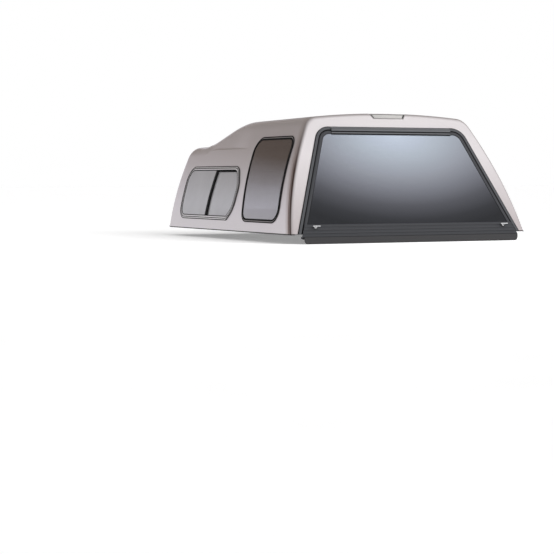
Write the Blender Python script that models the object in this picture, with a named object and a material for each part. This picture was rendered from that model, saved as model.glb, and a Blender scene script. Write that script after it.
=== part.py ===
"""Fibreglass pickup truck canopy: a one-piece moulding with a raised rear half and a lift-up rear door.

Run it with blender --background --python part.py, or from Blender's text editor.
Metres. +X is right, +Y is forward to the cab, +Z is up. The origin is the bottom centre of the whole part.
Most sizes are measured in the canopy's own frame: y from the rear edge of its base, z from the bed rails.
"""

import math

import bmesh
import bpy
from mathutils import Vector

# The moulding
BASE_LENGTH = 2.037
BASE_HALF_WIDTH = 0.872
ROOF_HALF_WIDTH = 0.588
ROOF_HEIGHT = 0.751
ROOF_CROWN = 0.032
ROOF_FALL = 0.011
SIDE_LEAN = 0.160
REAR_RAKE = 0.420
WALL = 0.006
SHOULDER_RADIUS = 0.055
REAR_CORNER_RADIUS = 0.022
FRONT_CORNER_RADIUS = 0.030
FRONT_TOP_RADIUS = 0.060
FLANGE_WIDTH = 0.055

# The cab-high front roof and the ramp up to the high roof
LOW_ROOF_HEIGHT = 0.572
LOW_ROOF_LENGTH = 0.253
RAMP_SLOPE = 0.376
RAMP_BLEND = 0.050
RAMP_EASE = 0.120
FOOT_BLEND = 0.045

# The belt line that carries the low roof's edge back along the ramp's side and fades out
BELT_FROM_TALL = 0.183
BELT_FADE = 0.150
BELT_DROP = 0.029
BELT_RISE = 0.028
BELT_INSET = 0.010
BELT_ROUND = 0.010
BELT_UNDER_SHOULDER = 0.015
BELT_TOP_UNDER_SHOULDER = 0.005

# The shallow groove down each rear corner
GROOVE_FROM_REAR = 0.036
GROOVE_HALF_WIDTH = 0.009
GROOVE_DEPTH = 0.004

# Fits
SEAT_GAP = 0.0003
CUT_CLEARANCE = 0.0005
MOVING_GAP = 0.005
PANE = 0.004
DOOR_PANE = 0.005

# The seal between the canopy and the bed rails
SEAL_WIDTH = 0.030
SEAL_HEIGHT = 0.004
SEAL_FROM_EDGE = 0.008

# The tall fixed side window
TALL_FROM_REAR = 0.206
TALL_FOOT_LENGTH = 0.566
TALL_HEAD_LENGTH = 0.587
TALL_REAR_LEAN = 0.144
TALL_SILL = 0.064
TALL_HEAD_DROP = 0.124
TALL_FOOT_RADIUS = 0.085
TALL_FRONT_RADIUS = 0.080
TALL_REAR_RADIUS = 0.095

# The sliding side window, between the tall window's pillar and the front wall
SLIDER_PILLAR = 0.166
SLIDER_FROM_FRONT = 0.146
SLIDER_FRONT_LEAN = 0.035
SLIDER_SILL = 0.067
SLIDER_HEAD_DROP = 0.138
SLIDER_REAR_LOW = 0.079
SLIDER_REAR_HIGH = 0.129
SLIDER_CUT_FOOT = 0.086
SLIDER_CUT_HEAD = 0.098
SLIDER_FRONT_RADIUS = 0.095
SLIDER_REAR_RADIUS = 0.130
SLIDER_CUT_FOOT_RADIUS = 0.030
SLIDER_CUT_HEAD_RADIUS = 0.115
MULLION_FROM_REAR = 0.447
MULLION_WIDTH = 0.030

# The front window
FRONT_WINDOW_SIDE = 0.252
FRONT_WINDOW_LEAN = 0.060
FRONT_WINDOW_SILL = 0.100
FRONT_WINDOW_HEAD_DROP = 0.152
FRONT_WINDOW_RADIUS = 0.050

# Window frames: a flange on the outer face and a web through the opening
FLANGE_PROUD = 0.005
SLIDER_FLANGE = 0.018
TALL_FLANGE = 0.014
WEB_FROM_EDGE = 0.0083
WEB_THICKNESS = 0.003
TRACK_LIP = 0.002
CLAMP_REACH = 0.006
CLAMP_THICKNESS = 0.004

# The rear door, in its own plane: x across, v up the rake, n outward
REAR_POST_FOOT = 0.046
REAR_POST_HEAD = 0.046
HEADER = 0.0715
DOOR_CORNER_RADIUS = 0.112
FRAME_WIDTH = 0.024
FRAME_PROUD = 0.006
FRAME_DEPTH = 0.030
FRAME_LIP = 0.046
FRAME_PLATE = 0.004
DOOR_FRAME_WIDTH = 0.022
DOOR_FRAME_DEPTH = 0.012
GLASS_BITE = 0.010
DOOR_SEAL_WIDTH = 0.012
DOOR_SEAL_ROUND = 0.002
DOOR_SEAL_CROWN = 0.001

# The bottom rail of the door, a ridged channel, and the skirt that laps over the tailgate
RAIL_TOP = 0.063
RAIL_BOTTOM = -0.027
RAIL_FACE = 0.010
RAIL_BACK = -0.010
RAIL_WALL = 0.003
RAIL_LIP = 0.014
RIDGES = 4
RIDGE_HEIGHT = 0.003
GLASS_POCKET = 0.007
SKIRT_REACH = 0.024
SKIRT_DROP = 0.061
SKIRT_CORNER = 0.025
SKIRT_SHORTER = 0.010
SKIRT_PLATE = 0.004
SKIRT_SETBACK = 0.002

# The full-length hinge above the glass
HINGE_FROM_CORNER = 0.092
HINGE_DROP = 0.021
BEAD_RADIUS = 0.004
BEAD_CLEARANCE = 0.0004
SOCKET_WALL = 0.0025
HINGE_NECK = 0.003
HINGE_OPENS = (-34.0, 114.0)
HINGE_FLANGE = 0.003
LEAF_HEIGHT = 0.024
LEAF_DROP = 0.002
LEAF_SHOULDER = 0.004

# The T-handles and the latches they work
HANDLE_FROM_EDGE = 0.078
HANDLE_V = 0.042
HANDLE_BAR = 0.056
HANDLE_BAR_RADIUS = 0.0045
SPINDLE_RADIUS = 0.004
HANDLE_STAND_OFF = 0.018
ESCUTCHEON_RADIUS = 0.016
ESCUTCHEON_HEIGHT = 0.004
CAM_LENGTH = 0.030
CAM_WIDTH = 0.011
CAM_THICKNESS = 0.003
LATCH_BAR_HEIGHT = 0.012
LATCH_BAR_THICKNESS = 0.006

# The high lamp in the rear edge of the roof
LAMP_HALF_TOP = 0.136
LAMP_HALF_BOTTOM = 0.114
LAMP_HEIGHT = 0.035
LAMP_BELOW_CROWN = 0.008
LAMP_DEPTH = 0.034
LENS_DEPTH = 0.008
LENS_PROUD = 0.003

# Fineness of the curves
FACET_HEIGHT = 0.050
BELT_ROWS = 3
SHOULDER_STEPS = 4
CROWN_STEPS = 4
CORNER_STEPS = 4
HINGE_STEPS = 14
TRIM = 0.012
CUT_REACH = 0.040
REAR_CUT_REACH = 0.150
CUT_PAST = 0.200
TOOL_SIZE = 2.0
ROUNDING_SHARE = 0.45

# Values that follow from the sizes above
RAKE_ANGLE = math.atan(REAR_RAKE)
SIDE_CURVE = (BASE_HALF_WIDTH - SIDE_LEAN * ROOF_HEIGHT - ROOF_HALF_WIDTH) / ROOF_HEIGHT ** 2
RAMP_FOOT = BASE_LENGTH - LOW_ROOF_LENGTH
RAMP_RISE = ROOF_HEIGHT - ROOF_FALL * RAMP_FOOT - LOW_ROOF_HEIGHT
RAMP_TOP = RAMP_FOOT - RAMP_RISE / (RAMP_SLOPE - ROOF_FALL)
BELT_HEIGHT = LOW_ROOF_HEIGHT - BELT_DROP
TALL_FRONT = TALL_FROM_REAR + TALL_REAR_LEAN + TALL_HEAD_LENGTH
BELT_START = TALL_FRONT + BELT_FROM_TALL
SLIDER_REAR = TALL_FROM_REAR + TALL_FOOT_LENGTH + SLIDER_PILLAR
DOOR_TOP = ROOF_HEIGHT / math.cos(RAKE_ANGLE) - HEADER
DOOR_HALF_WIDTH = BASE_HALF_WIDTH - REAR_POST_FOOT
DOOR_HEAD_HALF_WIDTH = ROOF_HALF_WIDTH - REAR_POST_HEAD
DOOR_TAPER = (DOOR_HALF_WIDTH - DOOR_HEAD_HALF_WIDTH) / DOOR_TOP
DOOR_INSET = FRAME_WIDTH + MOVING_GAP
LAMP_TOP = (ROOF_HEIGHT + ROOF_CROWN) / math.cos(RAKE_ANGLE) - LAMP_BELOW_CROWN
LAMP_BOTTOM = LAMP_TOP - LAMP_HEIGHT
HINGE_HALF_LENGTH = DOOR_HEAD_HALF_WIDTH - HINGE_FROM_CORNER
HINGE_V = DOOR_TOP - HINGE_DROP
HINGE_N = FRAME_PROUD + SEAT_GAP + BEAD_RADIUS + BEAD_CLEARANCE + SOCKET_WALL
GLASS_FACE = FRAME_PROUD - TRACK_LIP - SEAT_GAP
GLASS_BACK = GLASS_FACE - DOOR_PANE


def material(name, colour, roughness, metallic=0.0, alpha=1.0):
    """A Principled material with one colour."""
    made = bpy.data.materials.new(name)
    made.use_nodes = True
    shader = made.node_tree.nodes["Principled BSDF"]
    shader.inputs["Base Color"].default_value = (*colour, 1.0)
    shader.inputs["Roughness"].default_value = roughness
    shader.inputs["Metallic"].default_value = metallic
    shader.inputs["Alpha"].default_value = alpha
    return made


def add_object(name, bm, finish, parent, sharp_angle=35.0):
    """Turn a bmesh into a named object with its faces pointing out."""
    bmesh.ops.recalc_face_normals(bm, faces=bm.faces)
    mesh = bpy.data.meshes.new(name)
    bm.to_mesh(mesh)
    bm.free()
    mesh.materials.append(finish)
    mesh.shade_smooth()
    mesh.set_sharp_from_angle(angle=math.radians(sharp_angle))
    made = bpy.data.objects.new(name, mesh)
    made.parent = parent
    bpy.context.collection.objects.link(made)
    return made


def add_empty(name, parent, location, rotation=(0.0, 0.0, 0.0)):
    """A frame that pieces are placed in."""
    empty = bpy.data.objects.new(name, None)
    empty.parent = parent
    empty.location = location
    empty.rotation_euler = rotation
    bpy.context.collection.objects.link(empty)
    return empty


def sweep(rings, closed):
    """A solid from rings of matching points: a closed loop of rings, or an open run with capped ends."""
    bm = bmesh.new()
    loops = [[bm.verts.new(point) for point in ring] for ring in rings]
    count = len(loops)
    for i in range(count if closed else count - 1):
        here, there = loops[i], loops[(i + 1) % count]
        for j in range(len(here)):
            k = (j + 1) % len(here)
            bm.faces.new((here[j], here[k], there[k], there[j]))
    if not closed:
        bm.faces.new(loops[0][::-1])
        bm.faces.new(loops[-1])
    return bm


def inset_outline(corners, radii, insets, facet=None):
    """Points of a rounded polygon, each edge moved in by its own distance; edge i follows corner i.

    With a facet height, the straight edges get points close enough to follow a curved side.
    """
    count = len(corners)
    lines, lengths = [], []
    for i in range(count):
        start, end = Vector(corners[i]), Vector(corners[(i + 1) % count])
        along = (end - start).normalized()
        inward = Vector((-along.y, along.x))
        lines.append((start + inward * insets[i], along))
        lengths.append((end - start).length)
    points = []
    for i in range(count):
        (p, before), (q, after) = lines[i - 1], lines[i]
        turn = before.x * after.y - before.y * after.x
        gap = q - p
        corner = p + before * ((gap.x * after.y - gap.y * after.x) / turn)
        angle = math.atan2(turn, before.dot(after))
        roundest = ROUNDING_SHARE * min(lengths[i - 1], lengths[i]) / math.tan(angle / 2)
        radius = max(min(radii[i], roundest) - (insets[i - 1] + insets[i]) / 2, 0.0)
        points.append(corner_arc(corner, before, angle, radius) if radius > 0 else [corner])
    outline = []
    for i in range(count):
        outline.extend(points[i])
        rise = abs(corners[(i + 1) % count][1] - corners[i][1])
        steps = math.ceil(rise / facet) if facet else 1
        outline.extend(spread(points[i][-1], points[(i + 1) % count][0], max(steps, 1))[:-1])
    return outline


def corner_arc(corner, before, angle, radius):
    """The rounded corner where an outline turns by an angle from the direction before it."""
    reach = radius * math.tan(angle / 2)
    start = corner - before * reach
    centre = start + Vector((-before.y, before.x)) * radius
    spoke = start - centre
    arc = []
    for k in range(CORNER_STEPS + 1):
        turn = angle * k / CORNER_STEPS
        c, s = math.cos(turn), math.sin(turn)
        arc.append(centre + Vector((spoke.x * c - spoke.y * s, spoke.x * s + spoke.y * c)))
    return arc


def clip_outline(outline, limit, keep_above):
    """The part of a convex outline on one side of a line across its first axis."""
    sign = 1.0 if keep_above else -1.0
    kept = []
    for i, here in enumerate(outline):
        before = outline[i - 1]
        inside, was_inside = sign * (here.x - limit) >= 0, sign * (before.x - limit) >= 0
        if inside != was_inside:
            kept.append(before.lerp(here, (limit - before.x) / (here.x - before.x)))
        if inside:
            kept.append(here)
    return kept


def plate(outline, near, far, place, cuts=()):
    """A plate with this outline between two depths, creased along the given heights so that it can curve."""
    flat = bmesh.new()
    flat.faces.new([flat.verts.new((p.x, p.y, 0.0)) for p in outline])
    for height in cuts:
        geometry = flat.verts[:] + flat.edges[:] + flat.faces[:]
        bmesh.ops.bisect_plane(flat, geom=geometry, plane_co=(0, height, 0), plane_no=(0, 1, 0))
    flat.verts.index_update()
    bm = bmesh.new()
    front = [bm.verts.new(place(v.co.x, v.co.y, far)) for v in flat.verts]
    back = [bm.verts.new(place(v.co.x, v.co.y, near)) for v in flat.verts]
    for face in flat.faces:
        order = [v.index for v in face.verts]
        bm.faces.new([front[i] for i in order])
        bm.faces.new([back[i] for i in reversed(order)])
    for edge in flat.edges:
        if edge.is_boundary:
            i, j = edge.verts[0].index, edge.verts[1].index
            bm.faces.new((front[i], front[j], back[j], back[i]))
    flat.free()
    return bm


def half_width(z):
    """Outer half width of the moulding's side at a height above the rails."""
    return BASE_HALF_WIDTH - SIDE_LEAN * z - SIDE_CURVE * z * z


def smooth_min(a, b, blend):
    """The lower of two values, rounded where they cross."""
    near = max(blend - abs(a - b), 0.0) / blend
    return min(a, b) - near * near * blend / 4


def smooth_max(a, b, blend):
    """The higher of two values, rounded where they cross."""
    return -smooth_min(-a, -b, blend)


def smooth_step(value):
    """0 to 1 with level ends."""
    value = min(max(value, 0.0), 1.0)
    return value * value * (3 - 2 * value)


def roof_edge(y):
    """Height of the corner between side and roof: high roof, ramp, then the cab-high roof."""
    high = ROOF_HEIGHT - ROOF_FALL * y
    ramp = LOW_ROOF_HEIGHT + RAMP_SLOPE * (RAMP_FOOT - y)
    return smooth_max(smooth_min(high, ramp, RAMP_BLEND), LOW_ROOF_HEIGHT, FOOT_BLEND)


def belt_inset(y):
    """How far the ramp's side stands in from the side below it; it fades out towards the rear."""
    grows = smooth_step((y - BELT_START) / BELT_FADE)
    ends = 1.0 - smooth_step((y - RAMP_FOOT + RAMP_EASE) / RAMP_EASE)
    return BELT_INSET * grows * ends


def half_section(y, side_inset, top_inset):
    """(x, z) points of the outer face from below the rail up to the roof's centre line."""
    edge = roof_edge(y) - top_inset
    side_top = edge - SHOULDER_RADIUS
    belt_low = smooth_min(BELT_HEIGHT, side_top - BELT_UNDER_SHOULDER, BELT_ROUND)
    belt_top = smooth_min(BELT_HEIGHT + BELT_RISE, side_top - BELT_TOP_UNDER_SHOULDER, BELT_ROUND)
    upper = ROOF_HEIGHT - BELT_HEIGHT - SHOULDER_RADIUS
    heights = [-TRIM, 0.0] + spread(0.0, belt_low, math.ceil(BELT_HEIGHT / FACET_HEIGHT))
    heights += spread(belt_low, belt_top, BELT_ROWS)
    heights += spread(belt_top, side_top, math.ceil(upper / FACET_HEIGHT))

    def side_x(z):
        stepped = smooth_step((z - belt_low) / (belt_top - belt_low))
        return half_width(z) - side_inset - belt_inset(y) * stepped

    points = [Vector((side_x(z), z)) for z in heights]
    corner = Vector((side_x(edge), edge))

    def roof_point(x):
        return Vector((x, edge + ROOF_CROWN * (1 - (x / corner.x) ** 2)))

    start, end = points[-1], roof_point(corner.x - SHOULDER_RADIUS)
    for k in range(1, SHOULDER_STEPS + 1):
        t = k / SHOULDER_STEPS
        points.append(start * (1 - t) ** 2 + corner * (2 * t * (1 - t)) + end * t * t)
    for k in range(1, CROWN_STEPS + 1):
        points.append(roof_point(end.x * (1 - k / CROWN_STEPS)))
    return points


def station(base_y, side_inset, top_inset):
    """One ring of the moulding's outer face, left base to right base; its plane leans with the rear."""
    lean = REAR_RAKE * (1 - base_y / BASE_LENGTH)
    half = half_section(base_y + lean * ROOF_HEIGHT, side_inset, top_inset)
    right = [Vector((p.x, base_y + lean * p.y, p.y)) for p in half]
    left = [Vector((-p.x, p.y, p.z)) for p in right[:-1]]
    return left + right[::-1]


def spread(start, end, steps):
    """Evenly spaced values after start, up to end."""
    return [start + (end - start) * k / steps for k in range(1, steps + 1)]


def moulding_stations():
    """Every ring from the rear face to the front wall."""
    rings = []
    for k in range(CORNER_STEPS + 1):
        turn = math.radians(90) * k / CORNER_STEPS
        inset = REAR_CORNER_RADIUS * (1 - math.sin(turn))
        rings.append(station(REAR_CORNER_RADIUS * (1 - math.cos(turn)), inset, inset))
    groove_start = GROOVE_FROM_REAR - GROOVE_HALF_WIDTH
    groove_end = GROOVE_FROM_REAR + GROOVE_HALF_WIDTH
    rings.append(station(groove_start, 0.0, 0.0))
    rings.append(station(GROOVE_FROM_REAR, GROOVE_DEPTH, 0.0))
    rings.append(station(groove_end, 0.0, 0.0))
    roof_start = REAR_RAKE * ROOF_HEIGHT + groove_end
    front_start = BASE_LENGTH - FRONT_TOP_RADIUS
    ease = min(RAMP_EASE, (RAMP_FOOT - RAMP_TOP) / 4)
    roof_stations = spread(roof_start, RAMP_TOP - ease, 4)
    roof_stations += spread(RAMP_TOP - ease, RAMP_TOP + ease, 4)
    roof_stations += spread(RAMP_TOP + ease, RAMP_FOOT - ease, 2)
    roof_stations += spread(RAMP_FOOT - ease, RAMP_FOOT + ease / 2, 4)
    roof_stations += spread(RAMP_FOOT + ease / 2, front_start, 2)
    lean = REAR_RAKE * ROOF_HEIGHT
    for y in roof_stations:
        rings.append(station((y - lean) / (1 - lean / BASE_LENGTH), 0.0, 0.0))
    for k in range(1, CORNER_STEPS + 2):
        turn = math.radians(90) * k / (CORNER_STEPS + 1)
        from_front = FRONT_TOP_RADIUS * (1 - math.sin(turn))
        top_inset = FRONT_TOP_RADIUS * (1 - math.cos(turn))
        side_reach = max(FRONT_CORNER_RADIUS - from_front, 0.0)
        side_inset = FRONT_CORNER_RADIUS - math.sqrt(FRONT_CORNER_RADIUS ** 2 - side_reach ** 2)
        rings.append(station(BASE_LENGTH - from_front, side_inset, top_inset))
    return rings


def upright(x, y, z):
    """Placement with no turn or move."""
    return Vector((x, y, z))


def on_side(side):
    """Placement on a side wall: along, height, outward from its face; side is -1 left, 1 right."""
    def place(y, z, n):
        slope = SIDE_LEAN + 2 * SIDE_CURVE * z
        length = math.hypot(1.0, slope)
        return Vector((side * (half_width(z) + n / length), y, z + n * slope / length))
    return place


def on_front(x, z, n):
    """Placement on the front wall."""
    return Vector((x, BASE_LENGTH + n, z))


def on_rear(x, v, n):
    """Placement in the rear opening's own frame, or in one that is turned with it."""
    return Vector((x, -n, v))


def on_door(x, v, n):
    """Placement in the frame of the door's hinge."""
    return Vector((x, HINGE_N - n, v - HINGE_V))


def door_edge(v, inset):
    """Half width of the rear frame's outline at a height up the rake, moved in."""
    return DOOR_HALF_WIDTH - DOOR_TAPER * v - inset * math.hypot(1.0, DOOR_TAPER)


def door_outline(inset, bottom=0.0):
    """The rear frame's outline from lower right, over the top, to lower left."""
    head, foot = DOOR_HEAD_HALF_WIDTH, door_edge(bottom, 0.0)
    corners = ((foot, bottom), (head, DOOR_TOP), (-head, DOOR_TOP), (-foot, bottom))
    radii = (0.0, DOOR_CORNER_RADIUS, DOOR_CORNER_RADIUS, 0.0)
    return inset_outline(corners, radii, (inset, inset, inset, 0.0))


def level_end(inset, n, height, side):
    """Where the frame's leg ends so that its end face is level, at a height above the rails."""
    v = (height - n * math.sin(RAKE_ANGLE)) / math.cos(RAKE_ANGLE)
    return side * door_edge(v, inset), v


def add_cutter(name, bm, parent):
    """A tool solid that the build leaves out."""
    cutter = add_object(name, bm, FINISHES["tool"], parent)
    cutter.hide_render = True
    cutter.display_type = "WIRE"
    return cutter


def add_boolean(target, tool, operation):
    """Cut or join with an exact Boolean."""
    modifier = target.modifiers.new(tool.name, "BOOLEAN")
    modifier.operation = operation
    modifier.solver = "EXACT"
    modifier.object = tool


def base_loop(inset, height):
    """Half of the U of the base: the line of the moulding's foot, moved in."""
    x = half_width(height) - inset
    y = BASE_LENGTH - inset
    return x, y


def u_slab(outer_inset, inner_inset, rear, bottom, top):
    """A U-shaped slab along both sides and the front of the base."""
    outer_x, outer_y = base_loop(outer_inset, bottom)
    inner_x, inner_y = base_loop(inner_inset, bottom)
    outline = [(outer_x, rear), (outer_x, outer_y), (-outer_x, outer_y), (-outer_x, rear),
               (-inner_x, rear), (-inner_x, inner_y), (inner_x, inner_y), (inner_x, rear)]
    return plate([Vector(p) for p in outline], bottom, top, upright)


def slider_outline(inset):
    """The sliding window's outline, moved in: upright in front, and bowed back towards the tall window."""
    front = BASE_LENGTH - SLIDER_FROM_FRONT
    head = LOW_ROOF_HEIGHT - SLIDER_HEAD_DROP
    corners = ((SLIDER_REAR + SLIDER_CUT_FOOT, SLIDER_SILL), (front - SLIDER_FRONT_LEAN, SLIDER_SILL),
               (front, head), (SLIDER_REAR + SLIDER_CUT_HEAD, head),
               (SLIDER_REAR, head - SLIDER_REAR_HIGH), (SLIDER_REAR, SLIDER_SILL + SLIDER_REAR_LOW))
    radii = (SLIDER_CUT_FOOT_RADIUS, SLIDER_FRONT_RADIUS, SLIDER_FRONT_RADIUS, SLIDER_CUT_HEAD_RADIUS,
             SLIDER_REAR_RADIUS, SLIDER_REAR_RADIUS)
    return inset_outline(corners, radii, (inset,) * len(corners), FACET_HEIGHT)


def tall_outline(inset):
    """The tall window's outline, moved in: its rear edge leans with the rear face."""
    rear_head = TALL_FROM_REAR + TALL_REAR_LEAN
    head = ROOF_HEIGHT - TALL_HEAD_DROP
    corners = ((TALL_FROM_REAR, TALL_SILL), (TALL_FROM_REAR + TALL_FOOT_LENGTH, TALL_SILL),
               (TALL_FRONT, head), (rear_head, head))
    radii = (TALL_FOOT_RADIUS, TALL_FOOT_RADIUS, TALL_FRONT_RADIUS, TALL_REAR_RADIUS)
    return inset_outline(corners, radii, (inset,) * len(corners), FACET_HEIGHT)


def front_outline(inset):
    """The front window's outline, moved in."""
    foot = BASE_HALF_WIDTH - FRONT_WINDOW_SIDE
    head = foot - FRONT_WINDOW_LEAN
    top = LOW_ROOF_HEIGHT - FRONT_WINDOW_HEAD_DROP
    corners = ((-foot, FRONT_WINDOW_SILL), (foot, FRONT_WINDOW_SILL), (head, top), (-head, top))
    return inset_outline(corners, (FRONT_WINDOW_RADIUS,) * len(corners), (inset,) * len(corners))


def ring_frame(outline_of, profile, place):
    """A frame whose profile of (inset, outward) points runs round a window."""
    loops = [outline_of(inset) for inset, _ in profile]
    depths = [n for _, n in profile]
    rings = []
    for i in range(len(loops[0])):
        rings.append([place(loop[i].x, loop[i].y, n) for loop, n in zip(loops, depths)])
    return sweep(rings, True)


def curve_cuts(outline):
    """Heights at which a pane is creased to follow the side's curve."""
    low = min(point.y for point in outline)
    high = max(point.y for point in outline)
    return spread(low, high, math.ceil((high - low) / FACET_HEIGHT))[:-1]


def make_shell(parent):
    """The one-piece moulding: lofted skin, real wall, base flange, and every opening cut through it."""
    bm = bmesh.new()
    loops = [[bm.verts.new(p) for p in ring] for ring in moulding_stations()]
    for here, there in zip(loops, loops[1:]):
        for j in range(len(here) - 1):
            bm.faces.new((here[j], here[j + 1], there[j + 1], there[j]))
    bm.faces.new(loops[0])
    bm.faces.new(loops[-1][::-1])
    shell = add_object("shell", bm, FINISHES["paint"], parent)
    if max(shell.data.polygons, key=lambda face: face.center.z).normal.z < 0:
        shell.data.flip_normals()
    wall = shell.modifiers.new("wall", "SOLIDIFY")
    wall.thickness = WALL
    wall.offset = -1.0
    wall.use_even_offset = True
    rear, front = -TOOL_SIZE, BASE_LENGTH + TOOL_SIZE
    below = ((-TOOL_SIZE, rear), (TOOL_SIZE, rear), (TOOL_SIZE, front), (-TOOL_SIZE, front))
    foot = plate([Vector(p) for p in below], -TOOL_SIZE, 0.0, upright)
    add_boolean(shell, add_cutter("foot_trim", foot, parent), "DIFFERENCE")
    flange = u_slab(WALL / 2, FLANGE_WIDTH, REAR_CORNER_RADIUS, 0.0, WALL)
    add_boolean(shell, add_cutter("base_flange", flange, parent), "UNION")
    opening = WEB_FROM_EDGE - CUT_CLEARANCE
    for side in (-1, 1):
        place = on_side(side)
        for name, outline in (("slider", slider_outline(opening)), ("tall", tall_outline(opening))):
            cut = plate(outline, -CUT_REACH, CUT_REACH, place, curve_cuts(outline))
            add_boolean(shell, add_cutter(f"{name}_cut_{side}", cut, parent), "DIFFERENCE")
    cut = plate(front_outline(opening), -CUT_REACH, CUT_REACH, on_front)
    add_boolean(shell, add_cutter("front_cut", cut, parent), "DIFFERENCE")
    return shell


def make_rear_cuts(shell, rear):
    """The door opening, open at the foot, and the lamp's pocket."""
    inset = FRAME_WIDTH / 2 - CUT_CLEARANCE
    opening = plate(door_outline(inset, -CUT_PAST), -REAR_CUT_REACH, REAR_CUT_REACH, on_rear)
    add_boolean(shell, add_cutter("door_cut", opening, rear), "DIFFERENCE")
    back = -LAMP_DEPTH - CUT_CLEARANCE
    pocket = plate(lamp_outline(-CUT_CLEARANCE, CUT_REACH), back, REAR_CUT_REACH, on_rear)
    add_boolean(shell, add_cutter("lamp_cut", pocket, rear), "DIFFERENCE")


def make_seals(parent):
    """Foam seals under the flange: one down each side and one across the front."""
    x = BASE_HALF_WIDTH - SEAL_FROM_EDGE
    front = BASE_LENGTH - SEAL_FROM_EDGE
    split = front - SEAL_WIDTH - SEAT_GAP
    inner, rear, across = x - SEAL_WIDTH, REAR_CORNER_RADIUS, front - SEAL_WIDTH
    runs = {"front": ((-x, across), (x, across), (x, front), (-x, front))}
    for name, side in (("left", -1), ("right", 1)):
        runs[name] = [(side * a, b) for a, b in ((inner, rear), (x, rear), (x, split), (inner, split))]
    for name, corners in runs.items():
        bm = plate([Vector(p) for p in corners], -SEAL_HEIGHT - SEAT_GAP, -SEAT_GAP, upright)
        add_object(f"base_seal_{name}", bm, FINISHES["seal"], parent)


def make_slider(name, side, parent):
    """A sliding side window: two-track frame, clamp ring, fixed pane, mullion and sliding pane."""
    place = on_side(side)
    floor = WEB_FROM_EDGE + WEB_THICKNESS
    lip = SLIDER_FLANGE - TRACK_LIP
    slot = PANE + 2 * SEAT_GAP
    first = FLANGE_PROUD - TRACK_LIP
    second = first - slot - TRACK_LIP
    back = second - slot
    profile = ((0.0, SEAT_GAP), (0.0, FLANGE_PROUD), (SLIDER_FLANGE, FLANGE_PROUD), (SLIDER_FLANGE, first),
               (floor, first), (floor, first - slot), (lip, first - slot), (lip, second), (floor, second),
               (floor, back), (lip, back), (lip, back - TRACK_LIP), (WEB_FROM_EDGE, back - TRACK_LIP),
               (WEB_FROM_EDGE, SEAT_GAP))
    frame = ring_frame(slider_outline, profile, place)
    add_object(f"slider_frame_{name}", frame, FINISHES["frame"], parent)
    add_object(f"slider_clamp_{name}", clamp_ring(slider_outline, place), FINISHES["frame"], parent)
    glass = slider_outline(floor + SEAT_GAP)
    cuts = curve_cuts(glass)
    edge = SLIDER_REAR + MULLION_FROM_REAR + MULLION_WIDTH / 2
    fixed = clip_outline(glass, edge + SEAT_GAP, True)
    near = first - slot + SEAT_GAP
    bm = plate(fixed, near, near + PANE, place, cuts)
    add_object(f"slider_fixed_pane_{name}", bm, FINISHES["clear_glass"], parent)
    sliding = clip_outline(glass, edge, False)
    near = back + SEAT_GAP
    bm = plate(sliding, near, near + PANE, place, cuts)
    add_object(f"slider_moving_pane_{name}", bm, FINISHES["clear_glass"], parent)
    inside = slider_outline(SLIDER_FLANGE + SEAT_GAP)
    bar = clip_outline(clip_outline(inside, edge, False), edge - MULLION_WIDTH, True)
    bm = plate(bar, first - slot + SEAT_GAP, FLANGE_PROUD, place, cuts)
    add_object(f"slider_mullion_{name}", bm, FINISHES["black"], parent)


def clamp_ring(outline_of, place):
    """The ring inside the wall that clamps a window frame to it."""
    outer = WEB_FROM_EDGE - SEAT_GAP
    near = -WALL - SEAT_GAP
    far = near - CLAMP_THICKNESS
    profile = ((outer - CLAMP_REACH, far), (outer - CLAMP_REACH, near), (outer, near), (outer, far))
    return ring_frame(outline_of, profile, place)


def window_profile(flange):
    """Frame profile for one fixed pane."""
    floor = WEB_FROM_EDGE + WEB_THICKNESS
    front = FLANGE_PROUD - TRACK_LIP
    back = front - PANE - 2 * SEAT_GAP
    lip = flange - TRACK_LIP / 2
    end = min(back - TRACK_LIP, -WALL - SEAT_GAP - CLAMP_THICKNESS)
    return ((0.0, SEAT_GAP), (0.0, FLANGE_PROUD), (flange, FLANGE_PROUD), (flange, front), (floor, front),
            (floor, back), (lip, back), (lip, back - TRACK_LIP), (floor, back - TRACK_LIP), (floor, end),
            (WEB_FROM_EDGE, end), (WEB_FROM_EDGE, SEAT_GAP))


def make_fixed_window(name, ending, outline_of, place, parent):
    """A fixed window: frame, clamp ring inside, and one pane."""
    frame = ring_frame(outline_of, window_profile(TALL_FLANGE), place)
    add_object(f"{name}_frame{ending}", frame, FINISHES["black"], parent)
    add_object(f"{name}_clamp{ending}", clamp_ring(outline_of, place), FINISHES["black"], parent)
    far = FLANGE_PROUD - TRACK_LIP - SEAT_GAP
    outline = outline_of(WEB_FROM_EDGE + WEB_THICKNESS + SEAT_GAP)
    bm = plate(outline, far - PANE, far, place, curve_cuts(outline))
    add_object(f"{name}_glass{ending}", bm, FINISHES["clear_glass"], parent)


def lamp_outline(inset, extra_top=0.0):
    """The lamp's trapezium on the rear face."""
    top = LAMP_TOP - inset + extra_top
    slope = (LAMP_HALF_TOP - LAMP_HALF_BOTTOM) / (LAMP_TOP - LAMP_BOTTOM)
    low, high = LAMP_HALF_BOTTOM - inset, LAMP_HALF_TOP - inset + slope * extra_top
    bottom = LAMP_BOTTOM + inset
    return [Vector(p) for p in ((-low, bottom), (low, bottom), (high, top), (-high, top))]


def make_lamp(rear):
    """The high lamp: a housing let into the moulding, with its lens in front."""
    split = LENS_PROUD - LENS_DEPTH
    housing = plate(lamp_outline(0.0), -LAMP_DEPTH, split - SEAT_GAP, on_rear)
    add_object("lamp_housing", housing, FINISHES["black"], rear)
    lens = plate(lamp_outline(0.0), split, LENS_PROUD, on_rear)
    add_object("lamp_lens", lens, FINISHES["lens"], rear)


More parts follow.
